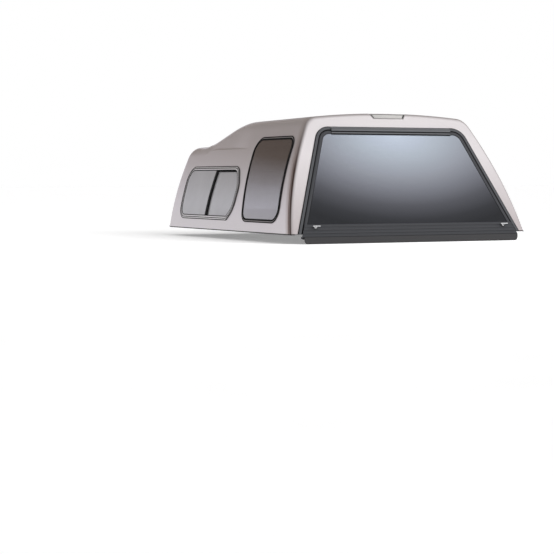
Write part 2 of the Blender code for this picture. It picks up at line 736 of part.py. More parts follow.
def leg_frame(profile, place, foot):
    """A frame over the top and down both legs; foot gives the height where the legs end level."""
    loops = [door_outline(inset) for inset, _ in profile]
    count = len(loops[0])
    rings = []
    for i in range(count):
        ring = []
        for j, (inset, n) in enumerate(profile):
            x, v = loops[j][i]
            if i in (0, count - 1):
                x, v = level_end(inset, n, foot, 1 if i == 0 else -1)
            ring.append(place(x, v, n))
        rings.append(ring)
    return sweep(rings, False)


def make_rear_frame(rear):
    """The fixed frame in the opening, its rubber seal, and the hinge rail above the glass."""
    web = FRAME_WIDTH / 2
    back = -FRAME_DEPTH
    profile = ((0.0, SEAT_GAP), (0.0, FRAME_PROUD), (FRAME_WIDTH, FRAME_PROUD), (FRAME_WIDTH, SEAT_GAP),
               (web + FRAME_PLATE, SEAT_GAP), (web + FRAME_PLATE, back + FRAME_PLATE),
               (FRAME_LIP, back + FRAME_PLATE), (FRAME_LIP, back), (web, back), (web, SEAT_GAP))
    add_object("rear_frame", leg_frame(profile, on_rear, 0.0), FINISHES["black"], rear)
    end = FRAME_LIP - DOOR_SEAL_CROWN
    start = end - DOOR_SEAL_WIDTH
    near = back + FRAME_PLATE + SEAT_GAP
    far = -DOOR_FRAME_DEPTH - SEAT_GAP
    shoulder, middle = far - DOOR_SEAL_CROWN, (near + far) / 2
    seal = ((start, near), (start, middle), (start + DOOR_SEAL_ROUND, shoulder), ((start + end) / 2, far),
            (end - DOOR_SEAL_ROUND, shoulder), (end, middle), (end, near))
    add_object("rear_seal", leg_frame(seal, on_rear, 0.0), FINISHES["rubber"], rear)


def along_x(profile, half_length, place):
    """A (v, n) profile run across the canopy."""
    return sweep([[place(x, v, n) for v, n in profile] for x in (-half_length, half_length)], False)


def polar(radius, degrees):
    """(v, n) about the hinge's axis; 0 points down the door and 90 points outward."""
    turn = math.radians(degrees)
    return HINGE_V - radius * math.cos(turn), HINGE_N + radius * math.sin(turn)


def make_hinge(rear, door_empty):
    """A socket extrusion on the frame, and a leaf on the door whose round bead turns in it."""
    low, high = HINGE_OPENS
    inner, outer = BEAD_RADIUS + BEAD_CLEARANCE, BEAD_RADIUS + BEAD_CLEARANCE + SOCKET_WALL
    turns = [high] + spread(high, 360 + low, HINGE_STEPS)
    base = FRAME_PROUD + SEAT_GAP
    flange_top = DOOR_TOP - HINGE_FLANGE
    outside = [polar(outer, t) for t in turns if t <= 180]
    socket = [polar(inner, t) for t in reversed(turns)] + outside
    socket += [(flange_top, base + HINGE_FLANGE), (flange_top, base), (HINGE_V, base)]
    socket += [polar(outer, t) for t in turns if t > 275]
    add_object("hinge_rail", along_x(socket, HINGE_HALF_LENGTH, on_rear), FINISHES["black"], rear)
    spread_angle = math.degrees(math.asin(HINGE_NECK / 2 / BEAD_RADIUS))
    around = [spread_angle] + spread(spread_angle, 360 - spread_angle, HINGE_STEPS)
    bead = [polar(BEAD_RADIUS, turn) for turn in around]
    leaf_top = HINGE_V - outer - LEAF_DROP
    leaf_bottom = leaf_top - LEAF_HEIGHT
    leaf = bead + [(leaf_top, HINGE_N - HINGE_NECK / 2), (leaf_top, base), (leaf_bottom, base),
                   (leaf_bottom, base + HINGE_FLANGE), (leaf_top - LEAF_SHOULDER, HINGE_N + HINGE_NECK / 2)]
    add_object("hinge_leaf", along_x(leaf, HINGE_HALF_LENGTH, on_door), FINISHES["black"], door_empty)


def make_door(door_empty):
    """The door: glass, its edge frame, the ridged bottom rail and the skirt."""
    start = DOOR_INSET
    end = start + DOOR_FRAME_WIDTH
    pocket = end - GLASS_BITE
    face, back = GLASS_FACE + SEAT_GAP, GLASS_BACK - SEAT_GAP
    profile = ((start, -DOOR_FRAME_DEPTH), (end, -DOOR_FRAME_DEPTH), (end, back), (pocket, back),
               (pocket, face), (end, face), (end, FRAME_PROUD), (start, FRAME_PROUD))
    loops = [door_outline(inset, RAIL_TOP + SEAT_GAP) for inset, _ in profile]
    rings = []
    for i in range(len(loops[0])):
        rings.append([on_door(loop[i].x, loop[i].y, n) for loop, (_, n) in zip(loops, profile)])
    add_object("door_frame", sweep(rings, False), FINISHES["black"], door_empty)
    outline = door_outline(pocket + SEAT_GAP, RAIL_TOP - GLASS_POCKET)
    glass = plate(outline, GLASS_BACK, GLASS_FACE, on_door)
    add_object("door_glass", glass, FINISHES["dark_glass"], door_empty)
    make_bottom_rail(door_empty)
    make_skirt(door_empty)


def make_bottom_rail(door_empty):
    """A ridged channel along the foot of the glass, its ends cut to the frame's taper."""
    face, back = GLASS_FACE + SEAT_GAP, GLASS_BACK - SEAT_GAP
    floor = RAIL_TOP - GLASS_POCKET - SEAT_GAP
    pitch = (RAIL_TOP - RAIL_BOTTOM) / RIDGES
    profile = [(RAIL_TOP, RAIL_FACE)]
    for k in range(RIDGES):
        top = RAIL_TOP - pitch * k
        profile += [(top - pitch * 0.20, RAIL_FACE), (top - pitch * 0.32, RAIL_FACE + RIDGE_HEIGHT),
                    (top - pitch * 0.68, RAIL_FACE + RIDGE_HEIGHT), (top - pitch * 0.80, RAIL_FACE)]
    lip, foot = RAIL_BOTTOM + RAIL_LIP, RAIL_BOTTOM + RAIL_WALL
    front, rear = RAIL_FACE - RAIL_WALL, RAIL_BACK + RAIL_WALL
    profile += [(RAIL_BOTTOM, RAIL_FACE), (RAIL_BOTTOM, RAIL_BACK), (lip, RAIL_BACK), (lip, rear),
                (foot, rear), (foot, front), (floor - RAIL_WALL, front),
                (floor - RAIL_WALL, back - RAIL_WALL), (RAIL_TOP, back - RAIL_WALL), (RAIL_TOP, back),
                (floor, back), (floor, face), (RAIL_TOP, face)]
    rings = [[on_door(side * door_edge(v, DOOR_INSET), v, n) for v, n in profile] for side in (-1, 1)]
    rail = add_object("bottom_rail", sweep(rings, False), FINISHES["black"], door_empty)
    for side in (-1, 1):
        radius = SPINDLE_RADIUS + CUT_CLEARANCE
        hole = turned([(radius, -CUT_REACH), (radius, CUT_REACH)], 16)
        tool = add_cutter(f"spindle_hole_{side}", hole, door_empty)
        tool.location = on_door(handle_x(side), HANDLE_V, 0.0)
        add_boolean(rail, tool, "DIFFERENCE")


def make_skirt(door_empty):
    """The lap over the tailgate: a shelf under the rail and an upright plate with rounded lower corners."""
    lean = Vector((math.cos(RAKE_ANGLE), math.sin(RAKE_ANGLE)))
    top = RAIL_BOTTOM - SEAT_GAP
    shelf = SKIRT_REACH / math.cos(RAKE_ANGLE)
    outer = Vector((top, shelf))
    depth = SKIRT_DROP + outer.dot(lean)
    inner = Vector((top - SKIRT_PLATE, shelf - SKIRT_PLATE / math.cos(RAKE_ANGLE)))
    inner_depth = SKIRT_DROP + inner.dot(lean)
    end = door_edge(RAIL_BOTTOM, DOOR_INSET) - SKIRT_SHORTER
    xs = []
    for k in range(CORNER_STEPS + 1):
        turn = math.radians(90) * k / CORNER_STEPS
        xs.append((end - SKIRT_CORNER * (1 - math.sin(turn)), 1 - math.cos(turn)))
    stations = [(-x, lift) for x, lift in reversed(xs)] + xs
    rings = []
    for x, lift in stations:
        raised = SKIRT_CORNER * lift
        low = outer - lean * (depth - raised)
        low_inner = inner - lean * (inner_depth - raised)
        profile = [Vector((top, RAIL_BACK + SKIRT_SETBACK)), outer, low, low_inner, inner,
                   Vector((top - SKIRT_PLATE, RAIL_BACK + SKIRT_SETBACK))]
        rings.append([on_door(x, p.x, p.y) for p in profile])
    add_object("tailgate_skirt", sweep(rings, False), FINISHES["black"], door_empty)


def handle_x(side):
    """Where a T-handle stands across the door."""
    return side * (door_edge(HANDLE_V, DOOR_INSET) - HANDLE_FROM_EDGE)


def turned(profile, segments):
    """A solid turned about the outward axis, from (radius, outward) points."""
    bm = bmesh.new()
    rings = []
    for radius, n in profile:
        angles = [math.radians(360) * k / segments for k in range(segments)]
        rings.append([bm.verts.new((radius * math.cos(a), -n, radius * math.sin(a))) for a in angles])
    for here, there in zip(rings, rings[1:]):
        for k in range(segments):
            bm.faces.new((here[k], here[(k + 1) % segments], there[(k + 1) % segments], there[k]))
    bm.faces.new(rings[0][::-1])
    bm.faces.new(rings[-1])
    return bm


def make_handle(name, side, door_empty):
    """A T-handle on its spindle, the rosette under it, and the cam and latch bar behind the rail."""
    centre = on_door(handle_x(side), HANDLE_V, 0.0)
    pivot = add_empty(f"handle_{name}_turn", door_empty, centre)
    seat = RAIL_FACE + RIDGE_HEIGHT + SEAT_GAP
    hole = SPINDLE_RADIUS + CUT_CLEARANCE
    rosette = turned([(ESCUTCHEON_RADIUS, seat), (ESCUTCHEON_RADIUS, seat + ESCUTCHEON_HEIGHT / 2),
                      (ESCUTCHEON_RADIUS * 0.85, seat + ESCUTCHEON_HEIGHT)], 20)
    rosette = add_object(f"handle_rosette_{name}", rosette, FINISHES["black"], pivot)
    bore = add_cutter(f"rosette_bore_{name}", turned([(hole, 0.0), (hole, CUT_REACH)], 16), pivot)
    add_boolean(rosette, bore, "DIFFERENCE")
    cam_face = RAIL_FACE - RAIL_WALL - MOVING_GAP
    bar_axis = seat + ESCUTCHEON_HEIGHT + HANDLE_STAND_OFF
    spindle = turned([(SPINDLE_RADIUS, cam_face), (SPINDLE_RADIUS, bar_axis - HANDLE_BAR_RADIUS * 0.5)], 16)
    handle = add_object(f"handle_{name}", spindle, FINISHES["chrome"], pivot)
    bar = add_cutter(f"handle_bar_{name}", t_bar(bar_axis), pivot)
    add_boolean(handle, bar, "UNION")
    cam_back = cam_face - SEAT_GAP
    reach = side * CAM_LENGTH
    corners = [(-side * CAM_WIDTH / 2, -CAM_WIDTH / 2), (reach, -CAM_WIDTH / 4),
               (reach, CAM_WIDTH / 4), (-side * CAM_WIDTH / 2, CAM_WIDTH / 2)]
    cam = plate([Vector(p) for p in corners], cam_back - CAM_THICKNESS, cam_back, on_rear)
    add_object(f"latch_cam_{name}", cam, FINISHES["zinc"], pivot)
    make_latch(name, side, door_empty)


def t_bar(axis):
    """The bar of a T-handle: a round bar, swollen at its ends."""
    half = HANDLE_BAR / 2
    stations = ((-half, 0.55), (-half + 0.002, 1.0), (-half * 0.6, 1.15), (0.0, 0.95),
                (half * 0.6, 1.15), (half - 0.002, 1.0), (half, 0.55))
    rings = []
    for x, share in stations:
        radius = HANDLE_BAR_RADIUS * share
        angles = [math.radians(360) * k / 12 for k in range(12)]
        rings.append([Vector((x, -axis - radius * math.cos(a), radius * math.sin(a))) for a in angles])
    return sweep(rings, False)


def make_latch(name, side, door_empty):
    """The bar that the cam drives towards the frame, held against the back of the rail."""
    start = handle_x(side) + side * (CAM_LENGTH + MOVING_GAP)
    end = side * door_edge(HANDLE_V, DOOR_INSET + MOVING_GAP)
    low, high = HANDLE_V - LATCH_BAR_HEIGHT / 2, HANDLE_V + LATCH_BAR_HEIGHT / 2
    corners = [Vector(p) for p in ((start, low), (end, low), (end, high), (start, high))]
    back = RAIL_FACE - RAIL_WALL - SEAT_GAP
    bar = plate(corners, back - LATCH_BAR_THICKNESS, back, on_door)
    add_object(f"latch_bar_{name}", bar, FINISHES["zinc"], door_empty)


def set_finishes():
    """Every material, by what it is."""
    return {
        "paint": material("metallic_paint", (0.52, 0.47, 0.45), 0.30, 0.45),
        "frame": material("clear_anodised", (0.42, 0.41, 0.41), 0.40, 0.60),
        "black": material("black_powder_coat", (0.030, 0.031, 0.034), 0.45),
        "dark_glass": material("dark_tinted_glass", (0.05, 0.055, 0.06), 0.05, 0.0, 0.80),
        "clear_glass": material("grey_tinted_glass", (0.30, 0.30, 0.30), 0.05, 0.0, 0.55),
        "rubber": material("rubber", (0.02, 0.02, 0.02), 0.80),
        "seal": material("foam_seal", (0.02, 0.02, 0.02), 0.90),
        "chrome": material("chrome", (0.75, 0.75, 0.76), 0.10, 1.0),
        "zinc": material("zinc_plate", (0.55, 0.55, 0.53), 0.35, 1.0),
        "lens": material("pale_lens", (0.70, 0.68, 0.66), 0.15),
        "tool": material("tool", (0.80, 0.30, 0.10), 0.50),
    }


def build():
    """The whole canopy."""
    for old in list(bpy.data.objects):
        bpy.data.objects.remove(old, do_unlink=True)
    rear_most = (RAIL_BOTTOM - SEAT_GAP) * math.sin(RAKE_ANGLE) - SKIRT_REACH
    front_most = BASE_LENGTH + FLANGE_PROUD
    canopy = add_empty("canopy", None, (0.0, -(rear_most + front_most) / 2, SKIRT_DROP))
    rear = add_empty("rear_opening", canopy, (0.0, 0.0, 0.0), (-RAKE_ANGLE, 0.0, 0.0))
    door_empty = add_empty("door_hinge", rear, (0.0, -HINGE_N, HINGE_V))
    shell = make_shell(canopy)
    make_rear_cuts(shell, rear)
    make_seals(canopy)
    for name, side in (("left", -1), ("right", 1)):
        make_slider(name, side, canopy)
        make_fixed_window("tall_window", f"_{name}", tall_outline, on_side(side), canopy)
    make_fixed_window("front_window", "", front_outline, on_front, canopy)
    make_lamp(rear)
    make_rear_frame(rear)
    make_hinge(rear, door_empty)
    make_door(door_empty)
    for name, side in (("left", -1), ("right", 1)):
        make_handle(name, side, door_empty)


FINISHES = set_finishes()
build()
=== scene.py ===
# %% [markdown]
# # A fibreglass pickup canopy
#
# This lesson dresses a measured frame of a truck-bed canopy: a pale metallic moulding with a raised rear half,
# tinted windows in aluminium frames, and a lift-up glass door with a ridged rail, a skirt and two T-handles.
# The frame is the engineering model. Here it gets the shapes and finishes that the eye needs.

# %% Load the frame
import math

import bmesh
import bpy
from mathutils import Matrix, Vector


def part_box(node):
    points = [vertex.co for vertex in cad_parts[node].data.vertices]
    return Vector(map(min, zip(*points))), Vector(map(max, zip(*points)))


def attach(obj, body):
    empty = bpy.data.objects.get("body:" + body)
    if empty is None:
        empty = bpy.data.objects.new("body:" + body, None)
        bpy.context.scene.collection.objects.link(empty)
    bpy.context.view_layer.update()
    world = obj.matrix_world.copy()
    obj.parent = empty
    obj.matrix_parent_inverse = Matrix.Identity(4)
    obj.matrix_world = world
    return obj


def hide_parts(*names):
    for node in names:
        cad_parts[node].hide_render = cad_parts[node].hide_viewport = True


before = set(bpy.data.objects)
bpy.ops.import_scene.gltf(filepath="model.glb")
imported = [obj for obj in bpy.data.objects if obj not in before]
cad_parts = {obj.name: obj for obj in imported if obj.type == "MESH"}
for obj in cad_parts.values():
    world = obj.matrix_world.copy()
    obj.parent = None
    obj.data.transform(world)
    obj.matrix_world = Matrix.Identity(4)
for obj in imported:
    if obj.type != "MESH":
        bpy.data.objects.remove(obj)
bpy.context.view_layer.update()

# %% [markdown]
# Most sizes of a canopy are taken from where it sits: lengths from the rear edge of its foot, heights from the
# bed rails. The foot of the moulding gives that origin, so two small functions carry points into the model.

# %% Where the canopy sits
FOOT = Vector(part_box("shell")[0])
RAKE_SLOPE = 0.420
RAKE = math.atan(RAKE_SLOPE)


def from_rails(x, y, z):
    """A point measured from the rear edge of the foot and from the bed rails."""
    return Vector((x, y + FOOT.y, z + FOOT.z))


def on_rear(x, v, n):
    """A point on the raked rear face: across, up the rake, and outward."""
    return from_rails(x, v * math.sin(RAKE) - n * math.cos(RAKE), v * math.cos(RAKE) + n * math.sin(RAKE))


print("foot at", [round(v, 4) for v in FOOT], "rake", round(math.degrees(RAKE), 1), "degrees")

# %% [markdown]
# A photograph fixes its camera: the lengths of known edges and where they meet give its place, its turn and its
# lens. This one stood low, about ten metres off the left rear corner, with a long lens.

# %% Camera
YAW, PITCH, ROLL = (math.radians(angle) for angle in (25.805, -3.4455, -0.0414))
CAMERA_AT = (-5.436, -9.235, 0.356)
FOCAL_PIXELS, FRAME_PIXELS, SENSOR_MM = 1649.27, 554, 36.0


def new_object(name, data):
    """An object with this data, linked to the scene."""
    thing = bpy.data.objects.new(name, data)
    bpy.context.scene.collection.objects.link(thing)
    return thing


ahead = Vector((math.sin(YAW) * math.cos(PITCH), math.cos(YAW) * math.cos(PITCH), math.sin(PITCH)))
across = Vector((math.cos(YAW), -math.sin(YAW), 0.0))
upward = across.cross(ahead)
right = across * math.cos(ROLL) + upward * math.sin(ROLL)
above = upward * math.cos(ROLL) - across * math.sin(ROLL)
camera = new_object("camera", bpy.data.cameras.new("camera"))
camera.matrix_world = Matrix.Translation(from_rails(*CAMERA_AT)) @ Matrix(
    (right, above, -ahead)).transposed().to_4x4()
camera.data.sensor_width = SENSOR_MM
camera.data.lens = SENSOR_MM * FOCAL_PIXELS / FRAME_PIXELS
bpy.context.scene.camera = camera
print("lens", round(camera.data.lens, 1), "mm")

# %% [markdown]
# Colours are written as hex, as a paint chart gives them. The renderer works in linear light, so one function
# turns them. One more adds a node to a material with its settings and its links, and every finish uses it.

# %% Colours and nodes
def colour(code):
    """A hex sRGB colour as linear RGBA."""
    parts = [int(code[i:i + 2], 16) / 255 for i in (1, 3, 5)]  # red, green, blue
    linear = [p / 12.92 if p <= 0.04045 else ((p + 0.055) / 1.055) ** 2.4 for p in parts]
    return (*linear, 1.0)


def add_node(tree, kind, settings=(), links=()):
    """A shader node with its inputs and properties set; each link comes from another node's output."""
    node = tree.nodes.new("ShaderNode" + kind)
    for key, value in dict(settings).items():
        if isinstance(key, int) or key in node.inputs:
            node.inputs[key].default_value = value
        else:
            setattr(node, key, value)
    for key, (source, output) in dict(links).items():
        tree.links.new(source.outputs[output], node.inputs[key])
    return node


def finish_of(name, settings, links=lambda tree: {}):
    """A material with one Principled shader: fixed values on its sockets, and patterns linked to them."""
    material = bpy.data.materials.new(name)
    material.use_nodes = True
    tree = material.node_tree
    tree.nodes.clear()
    shader = add_node(tree, "BsdfPrincipled", settings, links(tree))
    add_node(tree, "OutputMaterial", (), {"Surface": (shader, "BSDF")})
    return material


def ramp(tree, source, output, stops):
    """A colour ramp over hex stops."""
    node = add_node(tree, "ValToRGB", (), {"Fac": (source, output)})
    while len(node.color_ramp.elements) < len(stops):
        node.color_ramp.elements.new(0.5)
    for element, (position, code) in zip(node.color_ramp.elements, stops):
        element.position = position
        element.color = colour(code)
    return node


MM = 0.001
print("paint chip:", [round(v, 3) for v in colour("#CFC9CB")])

# %% [markdown]
# The canopy's paint is a metallic base coat under clear lacquer, sprayed on a gelled glass-fibre moulding. Flakes
# of 20 to 50 microns make it lighter where it faces the light, and the lacquer has a faint orange peel some
# 3 mm across. The flakes are far too fine to show, so they are drawn about 1.5 mm wide and very faint. Painted
# shade draws a brown line down the groove beside the rear corner, strongest at the foot, and darkens the foot of
# the rear face. A painted shadow draws the edge of the foot dark.

# %% Metallic paint
LEAN = math.tan(RAKE) - 0.010
REAR_EDGE = FOOT.y - LEAN * FOOT.z
# painted shade: these values draw a brown line down the groove beside the rear corner and darken the rear face's
# foot
GROOVE_SHADE_REACH, GROOVE_SHADE_FULL, GROOVE_SHADE_THIN, FOOT_SHADE_TOP, FOOT_SHADE_FULL = 0.100, 0.40, 0.72, 0.60, 0.05
GROOVE_SHADE_STOPS = ((0.05, "#FFFFFF"), (0.13, "#5F4B42"), (0.27, "#5F4B42"), (0.42, "#BDAFA8"), (0.90, "#FFFFFF"))


def paint_links(tree):
    place = add_node(tree, "TexCoord")
    flakes = add_node(tree, "TexNoise", {"Scale": 1 / (1.5 * MM), "Detail": 1.0}, {"Vector": (place, "Object")})
    tint = ramp(tree, flakes, "Fac", ((0.30, "#D0CBCC"), (0.70, "#DBD6D7")))
    rake = add_node(tree, "VectorMath", {"operation": "DOT_PRODUCT", 1: (0, 1, -LEAN)}, {0: (place, "Object")})
    # painted shade: a brown line over the groove beside the rear corner, fading up the side
    from_edge = add_node(tree, "MapRange", {"From Min": REAR_EDGE, "From Max": REAR_EDGE + GROOVE_SHADE_REACH},
                         {"Value": (rake, "Value")})
    groove_shade = ramp(tree, from_edge, "Result", GROOVE_SHADE_STOPS)
    up = add_node(tree, "SeparateXYZ", (), {"Vector": (place, "Object")})
    fade = add_node(tree, "MapRange", {"From Min": FOOT.z + GROOVE_SHADE_FULL, "From Max": FOOT.z + GROOVE_SHADE_THIN,
                                       "To Min": 1.0, "To Max": 0.35}, {"Value": (up, "Z")})
    groove_shaded = add_node(tree, "Mix", {"data_type": "RGBA", "blend_type": "MULTIPLY"},
                     {"Factor": (fade, "Result"), 6: (tint, "Color"), 7: (groove_shade, "Color")})
    # painted shadow: a dark band along the edge of the foot, where the joint is in shadow
    foot_shadow_mask = add_node(tree, "MapRange", {"From Min": FOOT.z + 3.2 * MM, "From Max": FOOT.z + 2.2 * MM},
                       {"Value": (up, "Z")})
    # painted shade: the rear face gets darker towards its foot
    rear = add_node(tree, "MapRange", {"From Min": REAR_EDGE + 0.016, "From Max": REAR_EDGE + 0.004},
                    {"Value": (rake, "Value")})
    low = add_node(tree, "MapRange", {"From Min": FOOT.z + FOOT_SHADE_TOP, "From Max": FOOT.z + FOOT_SHADE_FULL},
                   {"Value": (up, "Z")})
    foot_shade_mask = add_node(tree, "Math", {"operation": "MULTIPLY"}, {0: (rear, "Result"), 1: (low, "Result")})
    foot_shaded = add_node(tree, "Mix", {"data_type": "RGBA", "blend_type": "MULTIPLY", 7: colour("#DCD7D6")},
                     {"Factor": (foot_shade_mask, "Value"), 6: (groove_shaded, 2)})
    foot_shadowed = add_node(tree, "Mix", {"data_type": "RGBA", 7: colour("#211D1C")},
                     {"Factor": (foot_shadow_mask, "Result"), 6: (foot_shaded, 2)})
    peel = add_node(tree, "TexNoise", {"Scale": 1 / (3.0 * MM), "Detail": 0.0}, {"Vector": (place, "Object")})
    bump = add_node(tree, "Bump", {"Strength": 0.02, "Distance": 0.05 * MM}, {"Height": (peel, "Fac")})
    return {"Base Color": (foot_shadowed, 2), "Coat Normal": (bump, "Normal")}


paint = finish_of("pewter_metallic_paint", {
    "Metallic": 0.50, "Roughness": 0.32, "IOR": 1.5, "Coat Weight": 0.8, "Coat Roughness": 0.06,
    "Coat IOR": 1.5}, paint_links)
print(paint.name)

# %% [markdown]
# Inside, the laminate is sprayed with a spatter coat: a mid grey with darker and lighter flecks of about 5 mm,
# which hides the weave of the glass mat. It is dull and slightly rough to the touch.

# %% Interior coat
def spatter_links(tree):
    place = add_node(tree, "TexCoord")
    flecks = add_node(tree, "TexVoronoi", {"Scale": 1 / (5.0 * MM), "feature": "F1"},
                      {"Vector": (place, "Object")})
    tone = add_node(tree, "SeparateColor", (), {"Color": (flecks, "Color")})
    tint = ramp(tree, tone, "Red", ((0.0, "#4E4A48"), (0.18, "#6E6965"), (0.85, "#77726E"), (1.0, "#A09B96")))
    grit = add_node(tree, "TexNoise", {"Scale": 1 / (2.0 * MM)}, {"Vector": (place, "Object")})
    bump = add_node(tree, "Bump", {"Strength": 0.4, "Distance": 0.3 * MM}, {"Height": (grit, "Fac")})
    return {"Base Color": (tint, "Color"), "Normal": (bump, "Normal")}


spatter = finish_of("grey_spatter_coat", {"Roughness": 0.75, "IOR": 1.5}, spatter_links)
print(spatter.name)

# %% [markdown]
# The frames are extruded aluminium. The door's rail and stiles are black: powder coated, satin, with a grain of
# about half a millimetre. The fixed frame's black coat is drawn greyer as a painted sheen, and the hinge's lighter
# still, as painted light where it faces the sky. The tall windows' faces are drawn satin grey as a painted sheen,
# and the sliders' frames are clear anodised, a pale grey. The grain is drawn a little coarser than it is so that
# it shows. Moulded ABS has a grain too, from the spark-eroded steel of its mould, so one function serves them all.

# %% Aluminium finishes
def grain_links(tree, low, high, size, depth, rough):
    place = add_node(tree, "TexCoord")
    grain = add_node(tree, "TexNoise", {"Scale": 1 / (size * MM), "Detail": 2.0}, {"Vector": (place, "Object")})
    tint = ramp(tree, grain, "Fac", ((0.35, low), (0.65, high)))
    dull = add_node(tree, "MapRange", {"To Min": rough[0], "To Max": rough[1]}, {"Value": (grain, "Fac")})
    bump = add_node(tree, "Bump", {"Strength": 0.25, "Distance": depth * MM}, {"Height": (grain, "Fac")})
    return {"Base Color": (tint, "Color"), "Roughness": (dull, "Result"), "Normal": (bump, "Normal")}


def grained(name, settings, low, high, size, depth, rough=(0.36, 0.46)):
    """A finish between two colours, with a grain of this size and depth in millimetres."""
    return finish_of(name, settings, lambda tree: grain_links(tree, low, high, size, depth, rough))


COATED = {"IOR": 1.5, "Specular IOR Level": 0.4}
powder_coat = grained("black_powder_coat", COATED, "#2C2D30", "#38393D", 0.8, 0.05)
# painted sheen: a greyer copy of the black coat for the fixed rear frame
sheen_coat = grained("black_powder_coat_painted_sheen", COATED, "#3C3D40", "#494A4D", 0.8, 0.05)
# painted light: a lighter copy of the black coat for the hinge, which faces the sky
skylit_coat = grained("black_powder_coat_painted_skylight", {"IOR": 1.5}, "#525356", "#606164", 0.8, 0.05)
# painted sheen: the tall and front windows' frame faces are drawn grey
sheen_grey_coat = grained("powder_coat_painted_sheen_grey", {"IOR": 1.5}, "#8C8886", "#989492", 0.8, 0.05)
grey_plastic = grained("grey_moulded_abs", {"IOR": 1.54}, "#7C7A78", "#888684", 1.2, 0.05)
black_plastic = grained("black_moulded_abs", {"IOR": 1.54}, "#242426", "#323133", 1.2, 0.10, (0.48, 0.60))
anodised = grained("clear_anodised_aluminium", {"Metallic": 0.3}, "#DDDADB", "#EAE8E8", 0.8, 0.02, (0.26, 0.36))
print(powder_coat.name, anodised.name, black_plastic.name)

# %% [markdown]
# Rubber and foam are the darkest parts. The gaskets are extruded EPDM rubber: smooth, dull and nearly black. The
# seal under the foot is closed-cell foam tape, with cells of about 1 mm on its cut edge.

# %% Rubber, foam, chrome and zinc
rubber = grained("epdm_rubber", {"IOR": 1.52, "Specular IOR Level": 0.08}, "#0B0B0C", "#131314", 1.5, 0.05,
                 (0.55, 0.70))
foam = grained("closed_cell_foam", {"IOR": 1.4, "Specular IOR Level": 0.2}, "#0C0C0D", "#1E1E1F", 1.0, 0.30,
               (0.85, 0.95))
chrome = grained("chrome_plated_zinc", {"Metallic": 1.0}, "#EDEEF0", "#F5F6F7", 4.0, 0.005, (0.06, 0.12))
zinc = grained("zinc_plated_steel", {"Metallic": 1.0}, "#A8A79C", "#BDBBB4", 2.5, 0.02, (0.30, 0.42))
print(rubber.name, foam.name, chrome.name, zinc.name)

# %% [markdown]
# The side windows are float glass tinted grey in the melt, which lets about a third of the light through. Seen at
# a slant they mostly give back the sky, so the glass gets a thin reflecting coat over its body. A film of dust
# makes the reflection a little uneven. The sliding panes are drawn flatter and paler, a painted reflection of the
# sky in a pale colour that lets less light through.

# %% Grey side glass
DUST_PER_METRE = 6.0  # patches of dust about 170 mm across


def glass_links(tree, low, high):
    place = add_node(tree, "TexCoord")
    film = add_node(tree, "TexNoise", {"Scale": DUST_PER_METRE, "Detail": 3.0}, {"Vector": (place, "Object")})
    tint = ramp(tree, film, "Fac", ((0.3, low), (0.7, high)))
    dull = add_node(tree, "MapRange", {"To Min": 0.02, "To Max": 0.05}, {"Value": (film, "Fac")})
    return {"Base Color": (tint, "Color"), "Roughness": (dull, "Result")}


def tinted_glass(name, through, coat, coat_ior, low, high):
    """Float glass: how much light it lets through, how strongly its coat reflects, and its tint."""
    settings = {"IOR": 1.52, "Transmission Weight": through, "Coat Weight": coat, "Coat IOR": coat_ior,
                "Coat Roughness": 0.02}
    return finish_of(name, settings, lambda tree: glass_links(tree, low, high))


# painted reflection: the sliding panes' pale colour and low transmission stand for the sky they reflect
sky_painted_glass = tinted_glass("grey_float_glass_painted_sky", 0.35, 0.5, 1.7, "#C2C2C4", "#CACACC")
side_glass = tinted_glass("grey_float_glass", 1.0, 1.0, 2.1, "#979A9F", "#9FA2A7")
print(sky_painted_glass.name, side_glass.name)

# %% [markdown]
# The rear door is privacy glass: almost black, with a metallic film. A painted reflection of the sky lies on it:
# pale blue where it faces up, brightest near the middle of its top edge, fading all round to black at the foot.

# %% Privacy glass
# painted reflection: a pale blue patch centred near the top of the door glass, fading to black
REFLECTION_AT, REFLECTION_SIZE = from_rails(0.03, 0.27, 0.66), (1.26, 100.0, 0.64)
PAINTED_REFLECTION_STOPS = ((0.05, "#C4CEDC"), (0.28, "#AEB6C0"), (0.45, "#989CA5"), (0.62, "#787A82"), (0.76, "#56575D"),
               (0.90, "#38393D"), (1.0, "#2C2D30"))
FILM_PER_METRE = 5.0  # cloudy patches in the film about 200 mm across


def painted_reflection_links(tree):
    place = add_node(tree, "TexCoord")
    reflection_space = add_node(tree, "Mapping", {"vector_type": "TEXTURE", "Location": REFLECTION_AT, "Scale": REFLECTION_SIZE},
                     {"Vector": (place, "Object")})
    from_reflection_centre = add_node(tree, "VectorMath", {"operation": "LENGTH"}, {0: (reflection_space, "Vector")})
    tint = ramp(tree, from_reflection_centre, "Value", PAINTED_REFLECTION_STOPS)
    film = add_node(tree, "TexNoise", {"Scale": FILM_PER_METRE, "Detail": 2.0}, {"Vector": (place, "Object")})
    dull = add_node(tree, "MapRange", {"To Min": 0.10, "To Max": 0.14}, {"Value": (film, "Fac")})
    return {"Base Color": (tint, "Color"), "Roughness": (dull, "Result")}


reflection_painted_glass = finish_of("privacy_glass_painted_reflection", {"Metallic": 0.75, "IOR": 1.52}, painted_reflection_links)
print(reflection_painted_glass.name)

# %% [markdown]
# The high lamp has a pale acrylic lens, moulded with upright flutes 4 mm apart on its inner side. They scatter
# what is behind it, so the lens looks milky. Its tint is painted lighter and darker across each flute, as painted
# light and shade.

# %% Lamp lens
WAVE_TURNS = 20  # Blender's wave texture turns 20 radians in a unit at scale 1


